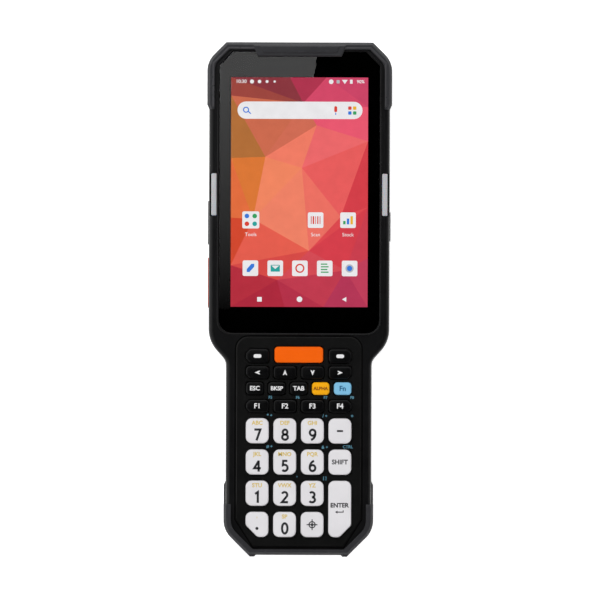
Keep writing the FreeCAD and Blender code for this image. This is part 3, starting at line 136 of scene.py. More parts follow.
def plastic(name, colour, rough, grain, bump, spread=0.12, spec=0.5, coat=0.0, edge=0.0):
    """A moulded plastic: slight mottling, a fine grain and an uneven gloss."""
    graph = Graph(name)
    base = rgb(colour)
    light, dark = shade(base, 1 + spread, 0.001), shade(base, 1 - spread)
    graph.link("Base Color", graph.ramp(graph.noise(MOTTLE, 4), [(0.3, dark), (0.7, light)]))
    graph.link("Roughness", graph.grey_ramp(graph.noise(SHEEN, 5), rough[0], rough[1]))
    graph.bump(graph.noise(grain, 2, 0.6), bump, edge)
    graph.fix({"Specular IOR Level": spec, "Coat Weight": coat, "Coat Roughness": 0.15})
    return graph.material


def rubber(name, colour, worn):
    """Soft rubber, mottled, with faint pale scuffs and edges that catch the light."""
    graph = Graph(name)
    base, pale = rgb(colour), rgb(worn)
    mottled = graph.ramp(graph.noise(70, 5), [(0.3, shade(base, 0.85)), (0.75, base)])
    scuffs = graph.grey_ramp(graph.noise(420, 6, 0.7), 0.0, 0.5, 0.55, 0.8)
    graph.link("Base Color", graph.mix(scuffs, mottled, pale))
    graph.link("Roughness", graph.grey_ramp(graph.noise(200, 5), 0.36, 0.5))
    graph.bump(graph.noise(3200, 3, 0.65), 0.25, 0.0004)
    graph.fix({"Specular IOR Level": 0.45})
    return graph.material


def metal(name, colour, rough):
    """Plated or brushed metal with fine scratches along Y."""
    graph = Graph(name)
    place = graph.node("ShaderNodeTexCoord").outputs["Object"]
    stretch = graph.node("ShaderNodeMapping", {"Vector": place, "Scale": (1.0, 0.06, 1.0)})
    links = {"Vector": stretch.outputs["Vector"], "Scale": 900, "Detail": 4.0}
    lines = graph.node("ShaderNodeTexNoise", links).outputs["Fac"]
    base = rgb(colour)
    graph.link("Base Color", graph.ramp(lines, [(0.3, shade(base, 0.8)), (0.7, base)]))
    graph.link("Roughness", graph.grey_ramp(lines, rough, rough + 0.15))
    graph.bump(lines, 0.1)
    graph.fix({"Metallic": 1.0})
    return graph.material


def glass_cover(name):
    """Clear glass with faint smudges."""
    graph = Graph(name)
    smudge = graph.noise(28, 6, 0.6)
    graph.link("Roughness", graph.grey_ramp(smudge, 0.01, 0.03, 0.45, 0.8))
    tints = [(0.2, (0.9, 0.92, 0.93, 1)), (0.8, (0.97, 0.98, 0.98, 1))]
    graph.link("Base Color", graph.ramp(smudge, tints))
    graph.fix({"Transmission Weight": 1.0, "IOR": 1.45})
    return graph.material


def lit(name, colour, strength=1.0):
    """A lit patch of the screen: its own light, a little uneven."""
    graph = Graph(name)
    base = rgb(colour)
    glow = graph.ramp(graph.noise(240, 3), [(0.3, shade(base, 0.93)), (0.7, base)])
    graph.link("Emission Color", glow)
    graph.fix({"Base Color": (0.01, 0.01, 0.01, 1), "Emission Strength": strength})
    graph.fix({"Roughness": 0.4, "Specular IOR Level": 0.0})
    return graph.material


def ink(name, colour):
    """Printed or moulded-in legend: matt, with slightly uneven density."""
    graph = Graph(name)
    base = rgb(colour)
    thin = shade(base, 1.12, 0.004)
    graph.link("Base Color", graph.ramp(graph.noise(1400, 2), [(0.3, base), (0.7, thin)]))
    graph.fix({"Roughness": 0.55})
    return graph.material


def frosted(name, colour):
    """A light guide's milky lens, with a fine ribbing inside it."""
    graph = Graph(name)
    place = graph.node("ShaderNodeTexCoord").outputs["Object"]
    links = {"Vector": place, "Scale": 420.0, "Distortion": 0.3}
    ribs = graph.node("ShaderNodeTexWave", links, bands_direction="Y").outputs["Fac"]
    base = rgb(colour)
    graph.link("Base Color", graph.ramp(ribs, [(0.0, shade(base, 0.93)), (1.0, base)]))
    graph.link("Roughness", graph.grey_ramp(graph.noise(300), 0.3, 0.45))
    graph.fix({"Subsurface Weight": 0.3, "Subsurface Scale": 0.002, "Coat Weight": 0.3})
    return graph.material


HOUSING = plastic("housing_grain", "#0f0f10", (0.3, 0.4), 2400, 0.2, spec=0.32, edge=0.0003)
HOUSING_BACK = plastic("rear_housing_grain", "#1a1a1b", (0.46, 0.6), 1500, 0.4, edge=0.0003)
BUMPER = rubber("bumper_rubber", "#343437", "#505053")
FLAP = rubber("flap_rubber", "#1b1b1d", "#343437")
FACE_PLATE = plastic("face_plate_satin", "#0f0f0f", (0.34, 0.44), 3400, 0.1, spec=0.32, edge=0.0002)
WHITE_KEY = plastic("white_key_resin", "#ebe9ec", (0.34, 0.44), 3000, 0.08, 0.025, spec=0.4)
BLACK_KEY = plastic("black_key_resin", "#060607", (0.32, 0.42), 3000, 0.06, 0.15, spec=0.3)
ORANGE_KEY = plastic("orange_key_resin", "#ff6600", (0.34, 0.42), 3000, 0.08, 0.04, spec=0.25)
AMBER_KEY = plastic("amber_key_resin", "#fdb00c", (0.34, 0.42), 3000, 0.08, 0.04, spec=0.25)
BLUE_KEY = plastic("blue_key_resin", "#84c6ea", (0.34, 0.42), 3000, 0.08, 0.04, spec=0.3)
TRIGGER = plastic("trigger_resin", "#c8401a", (0.36, 0.48), 2600, 0.15, 0.06)
LAMP = frosted("lamp_lens", "#c6c6ca")
BOARD = plastic("board_varnish", "#0d4a2b", (0.25, 0.4), 900, 0.3, 0.2)
SILICONE = rubber("mat_silicone", "#4a4c50", "#66686c")
DISPLAY = plastic("display_frame", "#060607", (0.2, 0.3), 2000, 0.05)
MODULE = plastic("module_black", "#0c0c0e", (0.18, 0.3), 2000, 0.06)
CAMERA_GLASS = plastic("camera_glass", "#08080c", (0.04, 0.09), 2000, 0.01, 0.3, coat=0.6)
BATTERY = plastic("battery_grain", "#252527", (0.5, 0.62), 1300, 0.45)
GOLD = metal("contact_gold", "#d9ab52", 0.22)
STEEL = metal("screw_steel", "#8d8d90", 0.3)
DARK_STEEL = metal("socket_steel", "#77777b", 0.28)
GLASS = glass_cover("window_glass")
PRINT_BLACK = plastic("window_print", "#020203", (0.5, 0.6), 2000, 0.0, spec=0.0)
RIDGE = plastic("ridge_gloss", "#39393c", (0.24, 0.34), 2600, 0.05, spec=0.7)
RIM = plastic("rim_gloss", "#121213", (0.24, 0.34), 2600, 0.05, spec=0.35)
SCREW = metal("screw_black", "#3a3a3d", 0.35)
# Painted shade: the trigger's grooves are flat strips of a darker red that stand for the shade inside
# them.
TRIGGER_GROOVE_SHADE = plastic("trigger_groove_shade", "#7e2410", (0.5, 0.6), 2600, 0.1)
# Painted shade: a near-black matt that stands for the shade in grooves, recesses and the seam round the
# face plate.
PAINTED_SHADE = plastic("seam_shadow", "#040404", (0.7, 0.8), 2600, 0.05, spec=0.1)
SCAN_RED = plastic("scan_glass_tint", "#160406", (0.03, 0.08), 900, 0.01, 0.3, coat=0.7)

LOOKS = {
    "front_housing": HOUSING,
    "rear_housing": HOUSING_BACK,
    "top_bumper": BUMPER,
    "bottom_bumper": BUMPER,
    "touch_window": GLASS,
    "window_gasket": SILICONE,
    "display_panel": DISPLAY,
    "keypad_panel": FACE_PLATE,
    "keypad_mat": SILICONE,
    "keypad_board": BOARD,
    "left_light_bar": LAMP,
    "right_light_bar": LAMP,
    "main_board": BOARD,
    "scan_engine": MODULE,
    "scan_window": SCAN_RED,
    "speaker": MODULE,
    "receiver": MODULE,
    "camera_module": MODULE,
    "battery_contacts": GOLD,
    "usb_socket": DARK_STEEL,
    "charging_contacts": GOLD,
    "housing_screws": STEEL,
    "strap_pin": STEEL,
    "battery_pack": BATTERY,
    "battery_latch": HOUSING,
    "io_cover": FLAP,
    "scan_trigger": TRIGGER,
    "volume_rocker": HOUSING,
    "power_key": HOUSING,
}
KEY_LOOKS = {"scan_key": ORANGE_KEY, "alpha_key": AMBER_KEY, "function_key": BLUE_KEY}
WHITE_KEYS = (
    "seven_key eight_key nine_key minus_key four_key five_key six_key shift_key one_key two_key"
    " three_key point_key zero_key locate_key enter_key"
).split()
KEYS = [name for name in NODES if name.endswith("_key") and name != "power_key"]


def wear(obj, material):
    """Gives an object one material."""
    obj.data.materials.clear()
    obj.data.materials.append(material)


for node_name, look in LOOKS.items():
    wear(NODES[node_name], look)

# Pieces: meshes built point by point, each riding on the body that carries it.


def linked(name, data):
    """A new object in the scene."""
    obj = bpy.data.objects.new(name, data)
    bpy.context.scene.collection.objects.link(obj)
    return obj


def new_object(name, mesh, body, look):
    """A new piece that rides on a body."""
    obj = linked(name, mesh)
    wear(obj, look)
    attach(obj, body)
    return obj


def mesh_from(name, build):
    """A mesh filled in by a function that works on a bmesh."""
    mesh = bpy.data.meshes.new(name)
    work = bmesh.new()
    build(work)
    work.to_mesh(mesh)
    work.free()
    return mesh


def rounded_loop(corners, steps=6):
    """Points round an outline of (x, y, radius) corners listed counter-clockwise."""
    points = []
    count = len(corners)
    for i in range(count):
        x, y, radius = corners[i]
        here = Vector((x, y))
        back = (Vector(corners[i - 1][:2]) - here).normalized()
        on = (Vector(corners[(i + 1) % count][:2]) - here).normalized()
        half = back.angle(on) / 2
        reach = radius / math.tan(half)
        start, end = here + back * reach, here + on * reach
        centre = here + (back + on).normalized() * (radius / math.sin(half))
        first = math.atan2(start.y - centre.y, start.x - centre.x)
        sweep = math.atan2(end.y - centre.y, end.x - centre.x) - first
        sweep = (sweep + math.pi) % math.tau - math.pi
        for k in range(steps + 1):
            turn = first + sweep * k / steps
            points.append(centre + Vector((math.cos(turn), math.sin(turn))) * radius)
    return points


def circle(x, y, radius, count):
    """Points round a circle, counter-clockwise."""
    turns = [k * math.tau / count for k in range(count)]
    return [(x + radius * math.cos(t), y + radius * math.sin(t)) for t in turns]


def box_loop(x0, y0, x1, y1, radius):
    """Points round a box with round corners."""
    return rounded_loop([(x0, y0, radius), (x1, y0, radius), (x1, y1, radius), (x0, y1, radius)])


def inset_loop(points, amount):
    """The loop moved inwards; it is counter-clockwise and nearly smooth."""
    count = len(points)
    moved = []
    for i in range(count):
        along = points[(i + 1) % count] - points[i - 1]
        along.normalize()
        moved.append(points[i] + Vector((-along.y, along.x)) * amount)
    return moved


def skin(work, rings):
    """Faces from each ring of vertices to the next; all have as many vertices."""
    for low, high in zip(rings, rings[1:]):
        for i in range(len(low)):
            j = (i + 1) % len(low)
            work.faces.new((low[i], low[j], high[j], high[i]))


def loft(work, rings):
    """A closed form through rings of points, with a cap on both ends."""
    made = [[work.verts.new(p) for p in ring] for ring in rings]
    skin(work, made)
    work.faces.new(made[-1])
    work.faces.new(list(reversed(made[0])))


def smooth(obj, angle):
    """Shades an object smooth, but for edges sharper than an angle in degrees."""
    for polygon in obj.data.polygons:
        polygon.use_smooth = True
    obj.data.set_sharp_from_angle(angle=math.radians(angle))


# Key caps with round corners and a softly domed top stand for the plain CAD caps.


def key_corners(low, high, radius, cut, cut_corners):
    """The cap's corners, counter-clockwise from the lower left; cut ones become two."""
    x0, y0, x1, y1 = low[0], low[1], high[0], high[1]
    blunt = min(radius, cut * 0.45)
    places = {
        "bottom_left": [(x0, y0 + cut, blunt), (x0 + cut, y0, blunt)],
        "bottom_right": [(x1 - cut, y0, blunt), (x1, y0 + cut, blunt)],
        "top_right": [(x1, y1 - cut, blunt), (x1 - cut, y1, blunt)],
        "top_left": [(x0 + cut, y1, blunt), (x0, y1 - cut, blunt)],
    }
    whole = {
        "bottom_left": (x0, y0, radius),
        "bottom_right": (x1, y0, radius),
        "top_right": (x1, y1, radius),
        "top_left": (x0, y1, radius),
    }
    corners = []
    for place in whole:
        corners += places[place] if place in cut_corners else [whole[place]]
    return corners


CUT_CORNERS = {
    "left_soft_key": ("top_left", "bottom_left"),
    "right_soft_key": ("top_right", "bottom_right"),
    "left_key": ("bottom_left",),
    "right_key": ("bottom_right",),
    "f1_key": ("top_left", "bottom_left"),
    "f4_key": ("top_right", "bottom_right"),
    "point_key": ("bottom_left",),
    "enter_key": ("bottom_right",),
}
FLANGE_MARGIN = 0.5 * MM
CAP_DROP = 0.03 * MM
# The corners' radius and the large cut of a light and of a dark cap.
LIGHT_CORNERS = (2.5 * MM, 4.9 * MM)
DARK_CORNERS = (1.5 * MM, 1.7 * MM)
# The cap's shoulder, as (inset, depth under its top) in mm, and its dome, as (share of the
# shoulder's last ring, depth under its top).
SHOULDER = ((0.0, 0.75), (0.04, 0.55), (0.16, 0.34), (0.34, 0.2), (0.6, 0.12))
DOME = ((0.72, 0.05), (0.4, 0.015))
KEY_TOPS = {}


def make_cap(name):
    """The cap that stands for a key's node; notes the middle of its top."""
    low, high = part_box(name)
    white = name in WHITE_KEYS
    radius, cut = LIGHT_CORNERS if white else DARK_CORNERS
    margin = Vector((FLANGE_MARGIN, FLANGE_MARGIN, 0))
    foot, crest = Vector(low) + margin, Vector(high) - margin
    corners = key_corners(foot, crest, radius, cut, CUT_CORNERS.get(name, ()))
    outline = rounded_loop(corners, 7)
    top = high[2] - CAP_DROP
    rings = [[(p.x, p.y, low[2]) for p in outline]]
    for inset, depth in SHOULDER:
        inner = inset_loop(outline, inset * MM)
        rings.append([(p.x, p.y, top - depth * MM) for p in inner])
    centre = (foot + crest) / 2
    for share, depth in DOME:
        drawn_in = [centre.xy + (p - centre.xy) * share for p in inner]
        rings.append([(p.x, p.y, top - depth * MM) for p in drawn_in])
    mesh = mesh_from(name + "_cap", lambda work: loft(work, rings))
    look = KEY_LOOKS.get(name, WHITE_KEY if white else BLACK_KEY)
    obj = new_object(name + "_cap", mesh, name, look)
    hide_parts(name)
    smooth(obj, 50)
    KEY_TOPS[name] = (centre.x, centre.y, top)


for key_name in KEYS:
    make_cap(key_name)

# Flat marks: legends, symbols and everything on the screen are thin raised shapes. On a key,
# symbols, digits and letters start a little under the cap's top and words a little over it.
MARK_SINK = 0.02 * MM
MARK_DEPTH = 0.03 * MM
WORD_LIFT = 0.006 * MM
LETTER_DEPTH = 0.01 * MM


def plate(name, loop, level, height, body, look):
    """A thin solid of an outline, standing on a level."""
    low = [(x, y, level) for x, y in loop]
    high = [(x, y, level + height) for x, y in loop]
    mesh = mesh_from(name, lambda work: loft(work, [low, high]))
    new_object(name, mesh, body, look)


def lettering(name, words, x, y, level, size, body, look, bold=0.0):
    """Generic legends, as thin raised lettering turned into a mesh; bold widens its strokes."""
    curve = bpy.data.curves.new(name, "FONT")
    curve.body = words
    curve.size = size
    curve.align_x = curve.align_y = "CENTER"
    curve.offset = bold
    curve.extrude = LETTER_DEPTH
    curve.resolution_u = 4
    holder = linked(name + "_curve", curve)
    bpy.context.view_layer.update()
    graph = bpy.context.evaluated_depsgraph_get()
    mesh = bpy.data.meshes.new_from_object(holder.evaluated_get(graph))
    bpy.data.objects.remove(holder)
    mesh.name = name
    mesh.transform(Matrix.Translation((x, y, level)))
    new_object(name, mesh, body, look)


INK_DARK = ink("ink_dark", "#232327")
INK_WHITE = ink("ink_white", "#e9e9ea")
INK_YELLOW = ink("ink_yellow", "#dcc065")
INK_BLUE = ink("ink_blue", "#5d93a8")
INK_AMBER = ink("ink_brown", "#8a4a06")
INK_NAVY = ink("ink_navy", "#1f5f88")
INK_GREY = ink("ink_grey", "#9a9a9c")


def arc(x, y, rx, ry, start, end, steps=14):
    """Points along an ellipse, from one angle in degrees to another."""
    turns = [math.radians(start + (end - start) * k / steps) for k in range(steps + 1)]
    return [(x + rx * math.cos(t), y + ry * math.sin(t)) for t in turns]


# The digits as lines in a cell one unit high; STROKE is the lines' width in it.
STROKE = 0.19
SIX = [arc(0.2, -0.13, 0.44, 0.57, 98, 176), arc(0, -0.18, 0.24, 0.26, 0, 360, 26)]
FIGURES = {
    "0": [arc(0, 0, 0.235, 0.44, 0, 360, 30)],
    "1": [[(-0.19, 0.27), (0.05, 0.44), (0.05, -0.5)]],
    "2": [arc(-0.02, 0.2, 0.23, 0.24, 158, -28) + [(-0.25, -0.44), (0.27, -0.44)]],
    "3": [arc(-0.04, 0.215, 0.22, 0.225, 142, -90), arc(-0.04, -0.22, 0.26, 0.22, 90, -146)],
    "4": [[(0.11, -0.5), (0.11, 0.46)], [(0.12, 0.44), (-0.27, -0.21), (0.3, -0.21)]],
    "5": [[(0.21, 0.44), (-0.15, 0.44), (-0.18, 0.06)] + arc(-0.03, -0.17, 0.26, 0.27, 112, -138)],
    "6": SIX,
    "7": [[(-0.27, 0.44), (0.25, 0.44), (-0.08, -0.5)]],
    "8": [arc(0, 0.22, 0.2, 0.22, 0, 360, 24), arc(0, -0.21, 0.245, 0.23, 0, 360, 26)],
    "9": [[(-px, -py) for px, py in line] for line in SIX],
}


def stroke(work, line, width, height, level):
    """Skins one line of points as a flat ribbon with thickness; it closes where its ends meet."""
    points = [Vector(p) for p in line]
    closed = (points[0] - points[-1]).length < width / 50
    if closed:
        points.pop()
    count = len(points)
    rings = []
    for i, here in enumerate(points):
        back = points[i - 1] if i or closed else None
        ahead = points[(i + 1) % count] if i < count - 1 or closed else None
        first = (here - back).normalized() if back is not None else (ahead - here).normalized()
        second = (ahead - here).normalized() if ahead is not None else first
        along = (first + second).normalized()
        side = Vector((-along.y, along.x))
        reach = width / 2 / max(0.35, side.dot(Vector((-first.y, first.x))))
        a, b = here + side * reach, here - side * reach
        above = level + height
        ring = [(a.x, a.y, level), (b.x, b.y, level), (b.x, b.y, above), (a.x, a.y, above)]
        rings.append([work.verts.new(p) for p in ring])
    skin(work, rings + rings[:1] if closed else rings)
    if not closed:
        work.faces.new(rings[0][::-1])
        work.faces.new(rings[-1])


def figure(name, digit, x, y, level, size, body):
    """A digit drawn with even strokes."""

    def build(work):
        for line in FIGURES[digit]:
            placed = [(x + px * size, y + py * size) for px, py in line]
            stroke(work, placed, STROKE * size, MARK_DEPTH, level - MARK_SINK)

    new_object(name, mesh_from(name, build), body, INK_DARK)


DIGITS = {
    "seven_key": ("7", "ABC"),
    "eight_key": ("8", "DEF"),
    "nine_key": ("9", "GHI"),
    "four_key": ("4", "JKL"),
    "five_key": ("5", "MNO"),
    "six_key": ("6", "PQR"),
    "one_key": ("1", "STU"),
    "two_key": ("2", "VWX"),
    "three_key": ("3", "YZ"),
    "zero_key": ("0", "SP"),
}
for key_name, (digit, letters) in DIGITS.items():
    x, y, top = KEY_TOPS[key_name]
    figure(key_name + "_digit", digit, x + 0.1 * MM, y - 1.55 * MM, top, 4.7 * MM, key_name)
    place = (x, y + 3.2 * MM, top - MARK_SINK)
    lettering(key_name + "_letters", letters, *place, 2.3 * MM, key_name, INK_YELLOW, 0.06 * MM)
WORDS = {
    "escape_key": ("ESC", 2.5, INK_WHITE),
    "backspace_key": ("BKSP", 2.3, INK_WHITE),
    "tab_key": ("TAB", 2.5, INK_WHITE),
    "alpha_key": ("ALPHA", 1.9, INK_AMBER),
    "function_key": ("Fn", 2.9, INK_NAVY),
    "f1_key": ("F1", 2.9, INK_WHITE),
    "f2_key": ("F2", 2.9, INK_WHITE),
    "f3_key": ("F3", 2.9, INK_WHITE),
    "f4_key": ("F4", 2.9, INK_WHITE),
    "shift_key": ("SHIFT", 2.6, INK_DARK),
}
for key_name, (words, size, look) in WORDS.items():
    x, y, top = KEY_TOPS[key_name]
    lettering(key_name + "_word", words, x, y, top + WORD_LIFT, size * MM, key_name, look, 0.07 * MM)


def mark(name, key_name, loop, look=INK_WHITE):
    """A printed symbol on a key; the loop is in millimetres round the key's middle."""
    x, y, top = KEY_TOPS[key_name]
    points = [(x + px * MM, y + py * MM) for px, py in loop]
    plate(name, points, top - MARK_SINK, MARK_DEPTH, key_name, look)


def turned(loop, degrees):
    """The loop turned about its origin."""
    turn = math.radians(degrees)
    cos, sin = math.cos(turn), math.sin(turn)
    return [(x * cos - y * sin, x * sin + y * cos) for x, y in loop]


PILL = [(p.x, p.y) for p in box_loop(-1.6, -0.75, 1.6, 0.75, 0.7)]
ARROW = [(0, 1.15), (-0.85, -1.0), (-0.4, -1.0), (0, -0.35), (0.4, -1.0), (0.85, -1.0)]
mark("left_soft_mark", "left_soft_key", PILL)
mark("right_soft_mark", "right_soft_key", PILL)
for key_name, angle in (("left_key", 90), ("up_key", 0), ("down_key", 180), ("right_key", -90)):
    mark(key_name + "_arrow", key_name, turned(ARROW, angle))
mark("minus_mark", "minus_key", [(-1.25, -0.38), (1.25, -0.38), (1.25, 0.38), (-1.25, 0.38)], INK_DARK)
mark("point_mark", "point_key", circle(0, -1.6, 0.62, 16), INK_DARK)
mark("comma_mark", "point_key", [(-0.12, 2.6), (0.12, 2.6), (0.12, 3.2), (-0.12, 3.2)], INK_YELLOW)
x, y, top = KEY_TOPS["enter_key"]
place = (x - 0.1 * MM, y + 1.5 * MM, top + WORD_LIFT)
lettering("enter_word", "ENTER", *place, 2.5 * MM, "enter_key", INK_DARK, 0.08 * MM)
mark("enter_head", "enter_key", [(-1.9, -1.2), (-0.9, -0.6), (-0.9, -1.8)], INK_DARK)
SHAFT = [(-0.9, -1.38), (1.6, -1.38), (1.6, -0.5), (1.25, -0.5), (1.25, -1.02), (-0.9, -1.02)]
mark("enter_shaft", "enter_key", SHAFT, INK_DARK)


def ring_mark(name, key_name, outer, inner, look):
    """A printed ring round a key's middle."""
    x, y, top = KEY_TOPS[key_name]

    def build(work):
        rings = []
        low, high = top - MARK_SINK, top - MARK_SINK + MARK_DEPTH
        for radius, level in ((inner, low), (inner, high), (outer, high), (outer, low)):
            loop = circle(0, 0, radius, 28)
            rings.append([work.verts.new((x + px * MM, y + py * MM, level)) for px, py in loop])
        skin(work, rings + rings[:1])

    new_object(name, mesh_from(name, build), key_name, look)


ring_mark("locate_ring", "locate_key", 1.45, 1.02, INK_DARK)
mark("locate_dot", "locate_key", circle(0, 0, 0.6, 20), INK_DARK)
for number in range(4):
    bar = turned([(-0.2, 0.5), (0.2, 0.5), (0.2, 2.2), (-0.2, 2.2)], 90 * number)
    mark(f"locate_bar_{number}", "locate_key", bar, INK_DARK)

# Small blue legends printed on the face plate between the keys.
panel_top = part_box("keypad_panel")[1][2]
SIDE_LEGENDS = (
    ("f5_legend", "F5", -11.6, -40.2, 1.6),
    ("f6_legend", "F6", -0.4, -40.2, 1.6),
    ("f7_legend", "F7", 11.0, -40.2, 1.6),
    ("f8_legend", "F8", 21.9, -40.2, 1.6),
    ("star_legend", "* +", -11.9, -47.6, 1.8),
    ("slash_legend", "/ +", 10.8, -47.8, 1.8),
    ("plus_legend", "+", 21.9, -47.8, 2.2),
    ("at_legend", "# +", -11.9, -60.3, 1.8),
    ("and_legend", "& +", 10.8, -60.6, 1.8),
    ("control_legend", "CTRL", 20.2, -60.4, 1.7),
    ("quote_legend", "'", -0.6, -73.2, 2.0),
    ("bracket_legend", "[ ]", 10.8, -73.2, 1.6),
)
for name, words, x, y, size in SIDE_LEGENDS:
    place = (x * MM, y * MM, panel_top + 0.012 * MM)
    lettering(name, words, *place, size * MM, "terminal", INK_BLUE, 0.03 * MM)

# The screen: a facetted wallpaper with plain symbols, under the glass.
display_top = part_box("display_panel")[1][2]
SCREEN = (-28.1, -3.05, 28.1, 91.15)
LEVEL = display_top + 0.03 * MM
FACETS = {
    "a": (-28.1, 91.15), "b": (-4.0, 91.15), "c": (11.0, 91.15), "d": (28.1, 91.15),
    "e": (-28.1, 83.6), "f": (1.5, 80.6), "g": (28.1, 79.0),
    "h": (-14.0, 58.5), "i": (7.0, 71.5), "j": (28.1, 65.0),
    "k": (-28.1, 58.0), "l": (1.0, 54.0), "m": (-19.0, 33.0), "n": (17.0, 34.0), "o": (28.1, 38.0),
    "p": (-28.1, 33.5), "q": (4.0, 20.0), "r": (-9.0, 8.0), "s": (19.0, 12.0), "t": (28.1, 17.0),
    "u": (-28.1, 14.0), "v": (-28.1, -3.05), "w": (-6.0, -3.05), "x": (10.0, -3.05), "y": (28.1, -3.05),
}
TILES = (
    ("abf", "#8c3840"), ("aef", "#a04840"), ("bcf", "#b23650"), ("cdg", "#cf4668"), ("cfg", "#d84a6a"),
    ("efh", "#cf6c50"), ("ehk", "#b4703a"), ("fih", "#d46e56"), ("fgi", "#ee5872"), ("gji", "#ee5a72"),
    ("hil", "#f47e66"), ("ijl", "#f06a6c"), ("jnl", "#ec5f5e"), ("jon", "#d8404a"),
    ("khm", "#e07a38"), ("hlm", "#f58863"), ("kmp", "#e87040"), ("mlq", "#f48468"), ("lnq", "#f07264"),
    ("noq", "#e24a50"), ("ots", "#d04050"), ("oqs", "#d9404c"), ("pmu", "#d84a30"), ("muq", "#ea6050"),
    ("uqr", "#dc4c48"), ("qsr", "#d84c56"), ("uvr", "#b93040"), ("rvw", "#b02a3e"), ("rwx", "#b8324a"),
    ("rsx", "#c43c50"), ("sxy", "#b83858"), ("sty", "#c4405c"),
)


def facet_mesh(work):
    made = {key: work.verts.new((x * MM, y * MM, LEVEL)) for key, (x, y) in FACETS.items()}
    for keys, _ in TILES:
        corners = [made[key] for key in keys]
        first, second, third = (v.co for v in corners)
        if (second - first).cross(third - first).z < 0:
            corners.reverse()
        work.faces.new(corners)


mesh = mesh_from("screen_wallpaper", facet_mesh)
wallpaper = new_object("screen_wallpaper", mesh, "terminal", DISPLAY)
wallpaper.data.materials.clear()
for number, (keys, colour) in enumerate(TILES):
    wallpaper.data.materials.append(lit(f"wallpaper_{number}", colour, 1.04))
    wallpaper.data.polygons[number].material_index = number

WHITE_LIGHT = lit("screen_white", "#f4f2f4")
GREY_LIGHT = lit("screen_grey", "#b9bcc2")
RED_LIGHT = lit("screen_red", "#e0453a")
GREEN_LIGHT = lit("screen_green", "#3aa564")
BLUE_LIGHT = lit("screen_blue", "#3b7de0")
YELLOW_LIGHT = lit("screen_yellow", "#f2b632")
TEAL_LIGHT = lit("screen_teal", "#2fa6a0")


def screen_shape(name, points, look, layer=1):
    """A shape on the screen, in millimetres; each layer lies a little above the one before."""
    loop = [(x * MM, y * MM) for x, y in points]
    plate(name, loop, LEVEL + layer * 0.004 * MM, 0.003 * MM, "terminal", look)


def card(name, x0, y0, x1, y1, radius, look, layer=1):
    screen_shape(name, [(p.x, p.y) for p in box_loop(x0, y0, x1, y1, radius)], look, layer)


def disc(name, x, y, radius, look, layer=2, count=24):
    screen_shape(name, circle(x, y, radius, count), look, layer)


def screen_words(name, words, x, y, size, bold=0.0):
    place = (x * MM, y * MM, LEVEL + 0.01 * MM)
    lettering(name, words, *place, size * MM, "terminal", WHITE_LIGHT, bold)


card("search_bar", -25.5, 74.1, 25.8, 81.2, 3.5, WHITE_LIGHT)
disc("search_glass", -22.0, 77.8, 1.25, BLUE_LIGHT)
disc("search_glass_inside", -22.0, 77.8, 0.8, WHITE_LIGHT, 3)
screen_shape("search_handle", [(-21.3, 77.1), (-20.95, 77.4), (-19.9, 76.3), (-20.2, 76.0)], BLUE_LIGHT, 2)
card("voice_mark", 14.2, 76.9, 15.4, 79.4, 0.6, RED_LIGHT, 2)
card("voice_stand", 14.6, 75.8, 15.0, 76.7, 0.1, BLUE_LIGHT, 2)
SQUARES = ((20.6, 76.6), (22.6, 76.6), (20.6, 78.6), (22.6, 78.6))
SQUARE_LOOKS = (BLUE_LIGHT, GREEN_LIGHT, RED_LIGHT, YELLOW_LIGHT)
for number, (x, y) in enumerate(SQUARES):
    look = SQUARE_LOOKS[number]
    card(f"code_square_{number}", x - 0.7, y - 0.7, x + 0.7, y + 0.7, 0.3, look, 2)

screen_words("clock_time", "10:30", -24.0, 89.4, 2.0, 0.03 * MM)
screen_words("battery_level", "90%", 25.0, 89.4, 1.9, 0.03 * MM)
for number, x in enumerate((-19.6, -16.5, -13.4, -10.3)):
    disc(f"status_dot_{number}", x, 89.4, 0.85 - 0.12 * number, WHITE_LIGHT, 2, 14)
card("status_battery", 20.6, 88.6, 21.7, 90.3, 0.2, WHITE_LIGHT, 2)
screen_shape("status_signal", [(17.3, 90.2), (18.5, 88.5), (19.7, 90.2)], WHITE_LIGHT, 2)
disc("status_ring", 12.9, 89.4, 0.95, WHITE_LIGHT, 2)
card("status_square", 15.1, 88.7, 16.4, 90.1, 0.3, GREY_LIGHT, 2)

# Three programs in a row, then the dock of five; every symbol is a plain geometric one.
APPS = ((-19.9, 32.6, 3.5), (6.7, 32.6, 3.2), (20.0, 32.6, 3.2))
for number, (x, y, half) in enumerate(APPS):
    card(f"program_{number}", x - half, y - half, x + half, y + half, 0.7, WHITE_LIGHT)
for number, (dx, dy) in enumerate(((-1.6, -1.6), (1.6, -1.6), (-1.6, 1.6), (1.6, 1.6))):
    look = (RED_LIGHT, TEAL_LIGHT, BLUE_LIGHT, GREEN_LIGHT)[number]
    disc(f"folder_dot_{number}", -19.9 + dx, 32.6 + dy, 0.95, look)
for number, width in enumerate((0.5, 0.9, 0.4, 0.7, 0.5)):
    x = 4.9 + number * 0.9
    card(f"code_bar_{number}", x - width / 3, 31.0, x + width / 3, 34.2, 0.05, RED_LIGHT, 2)
for number, (height, look) in enumerate(((1.4, GREEN_LIGHT), (2.4, BLUE_LIGHT), (3.4, YELLOW_LIGHT))):
    x = 18.5 + number * 1.5
    card(f"chart_bar_{number}", x - 0.5, 30.9, x + 0.5, 30.9 + height, 0.1, look, 2)
for number, (x, words) in enumerate(((-19.9, "Tools"), (6.7, "Scan"), (20.0, "Stock"))):
    screen_words(f"program_name_{number}", words, x, 26.6, 2.1)
DOCK = (-20.0, -9.8, 0.3, 10.5, 20.7)
for number, x in enumerate(DOCK):
    card(f"dock_{number}", x - 3.2, 9.6, x + 3.2, 16.0, 0.7, WHITE_LIGHT)
PHONE = [(-21.5, 11.2), (-20.4, 11.2), (-18.4, 13.4), (-18.4, 14.6), (-19.6, 14.6), (-21.5, 12.4)]
screen_shape("dock_phone", PHONE, BLUE_LIGHT, 2)
card("dock_letter", -11.7, 11.4, -7.9, 14.2, 0.3, TEAL_LIGHT, 2)
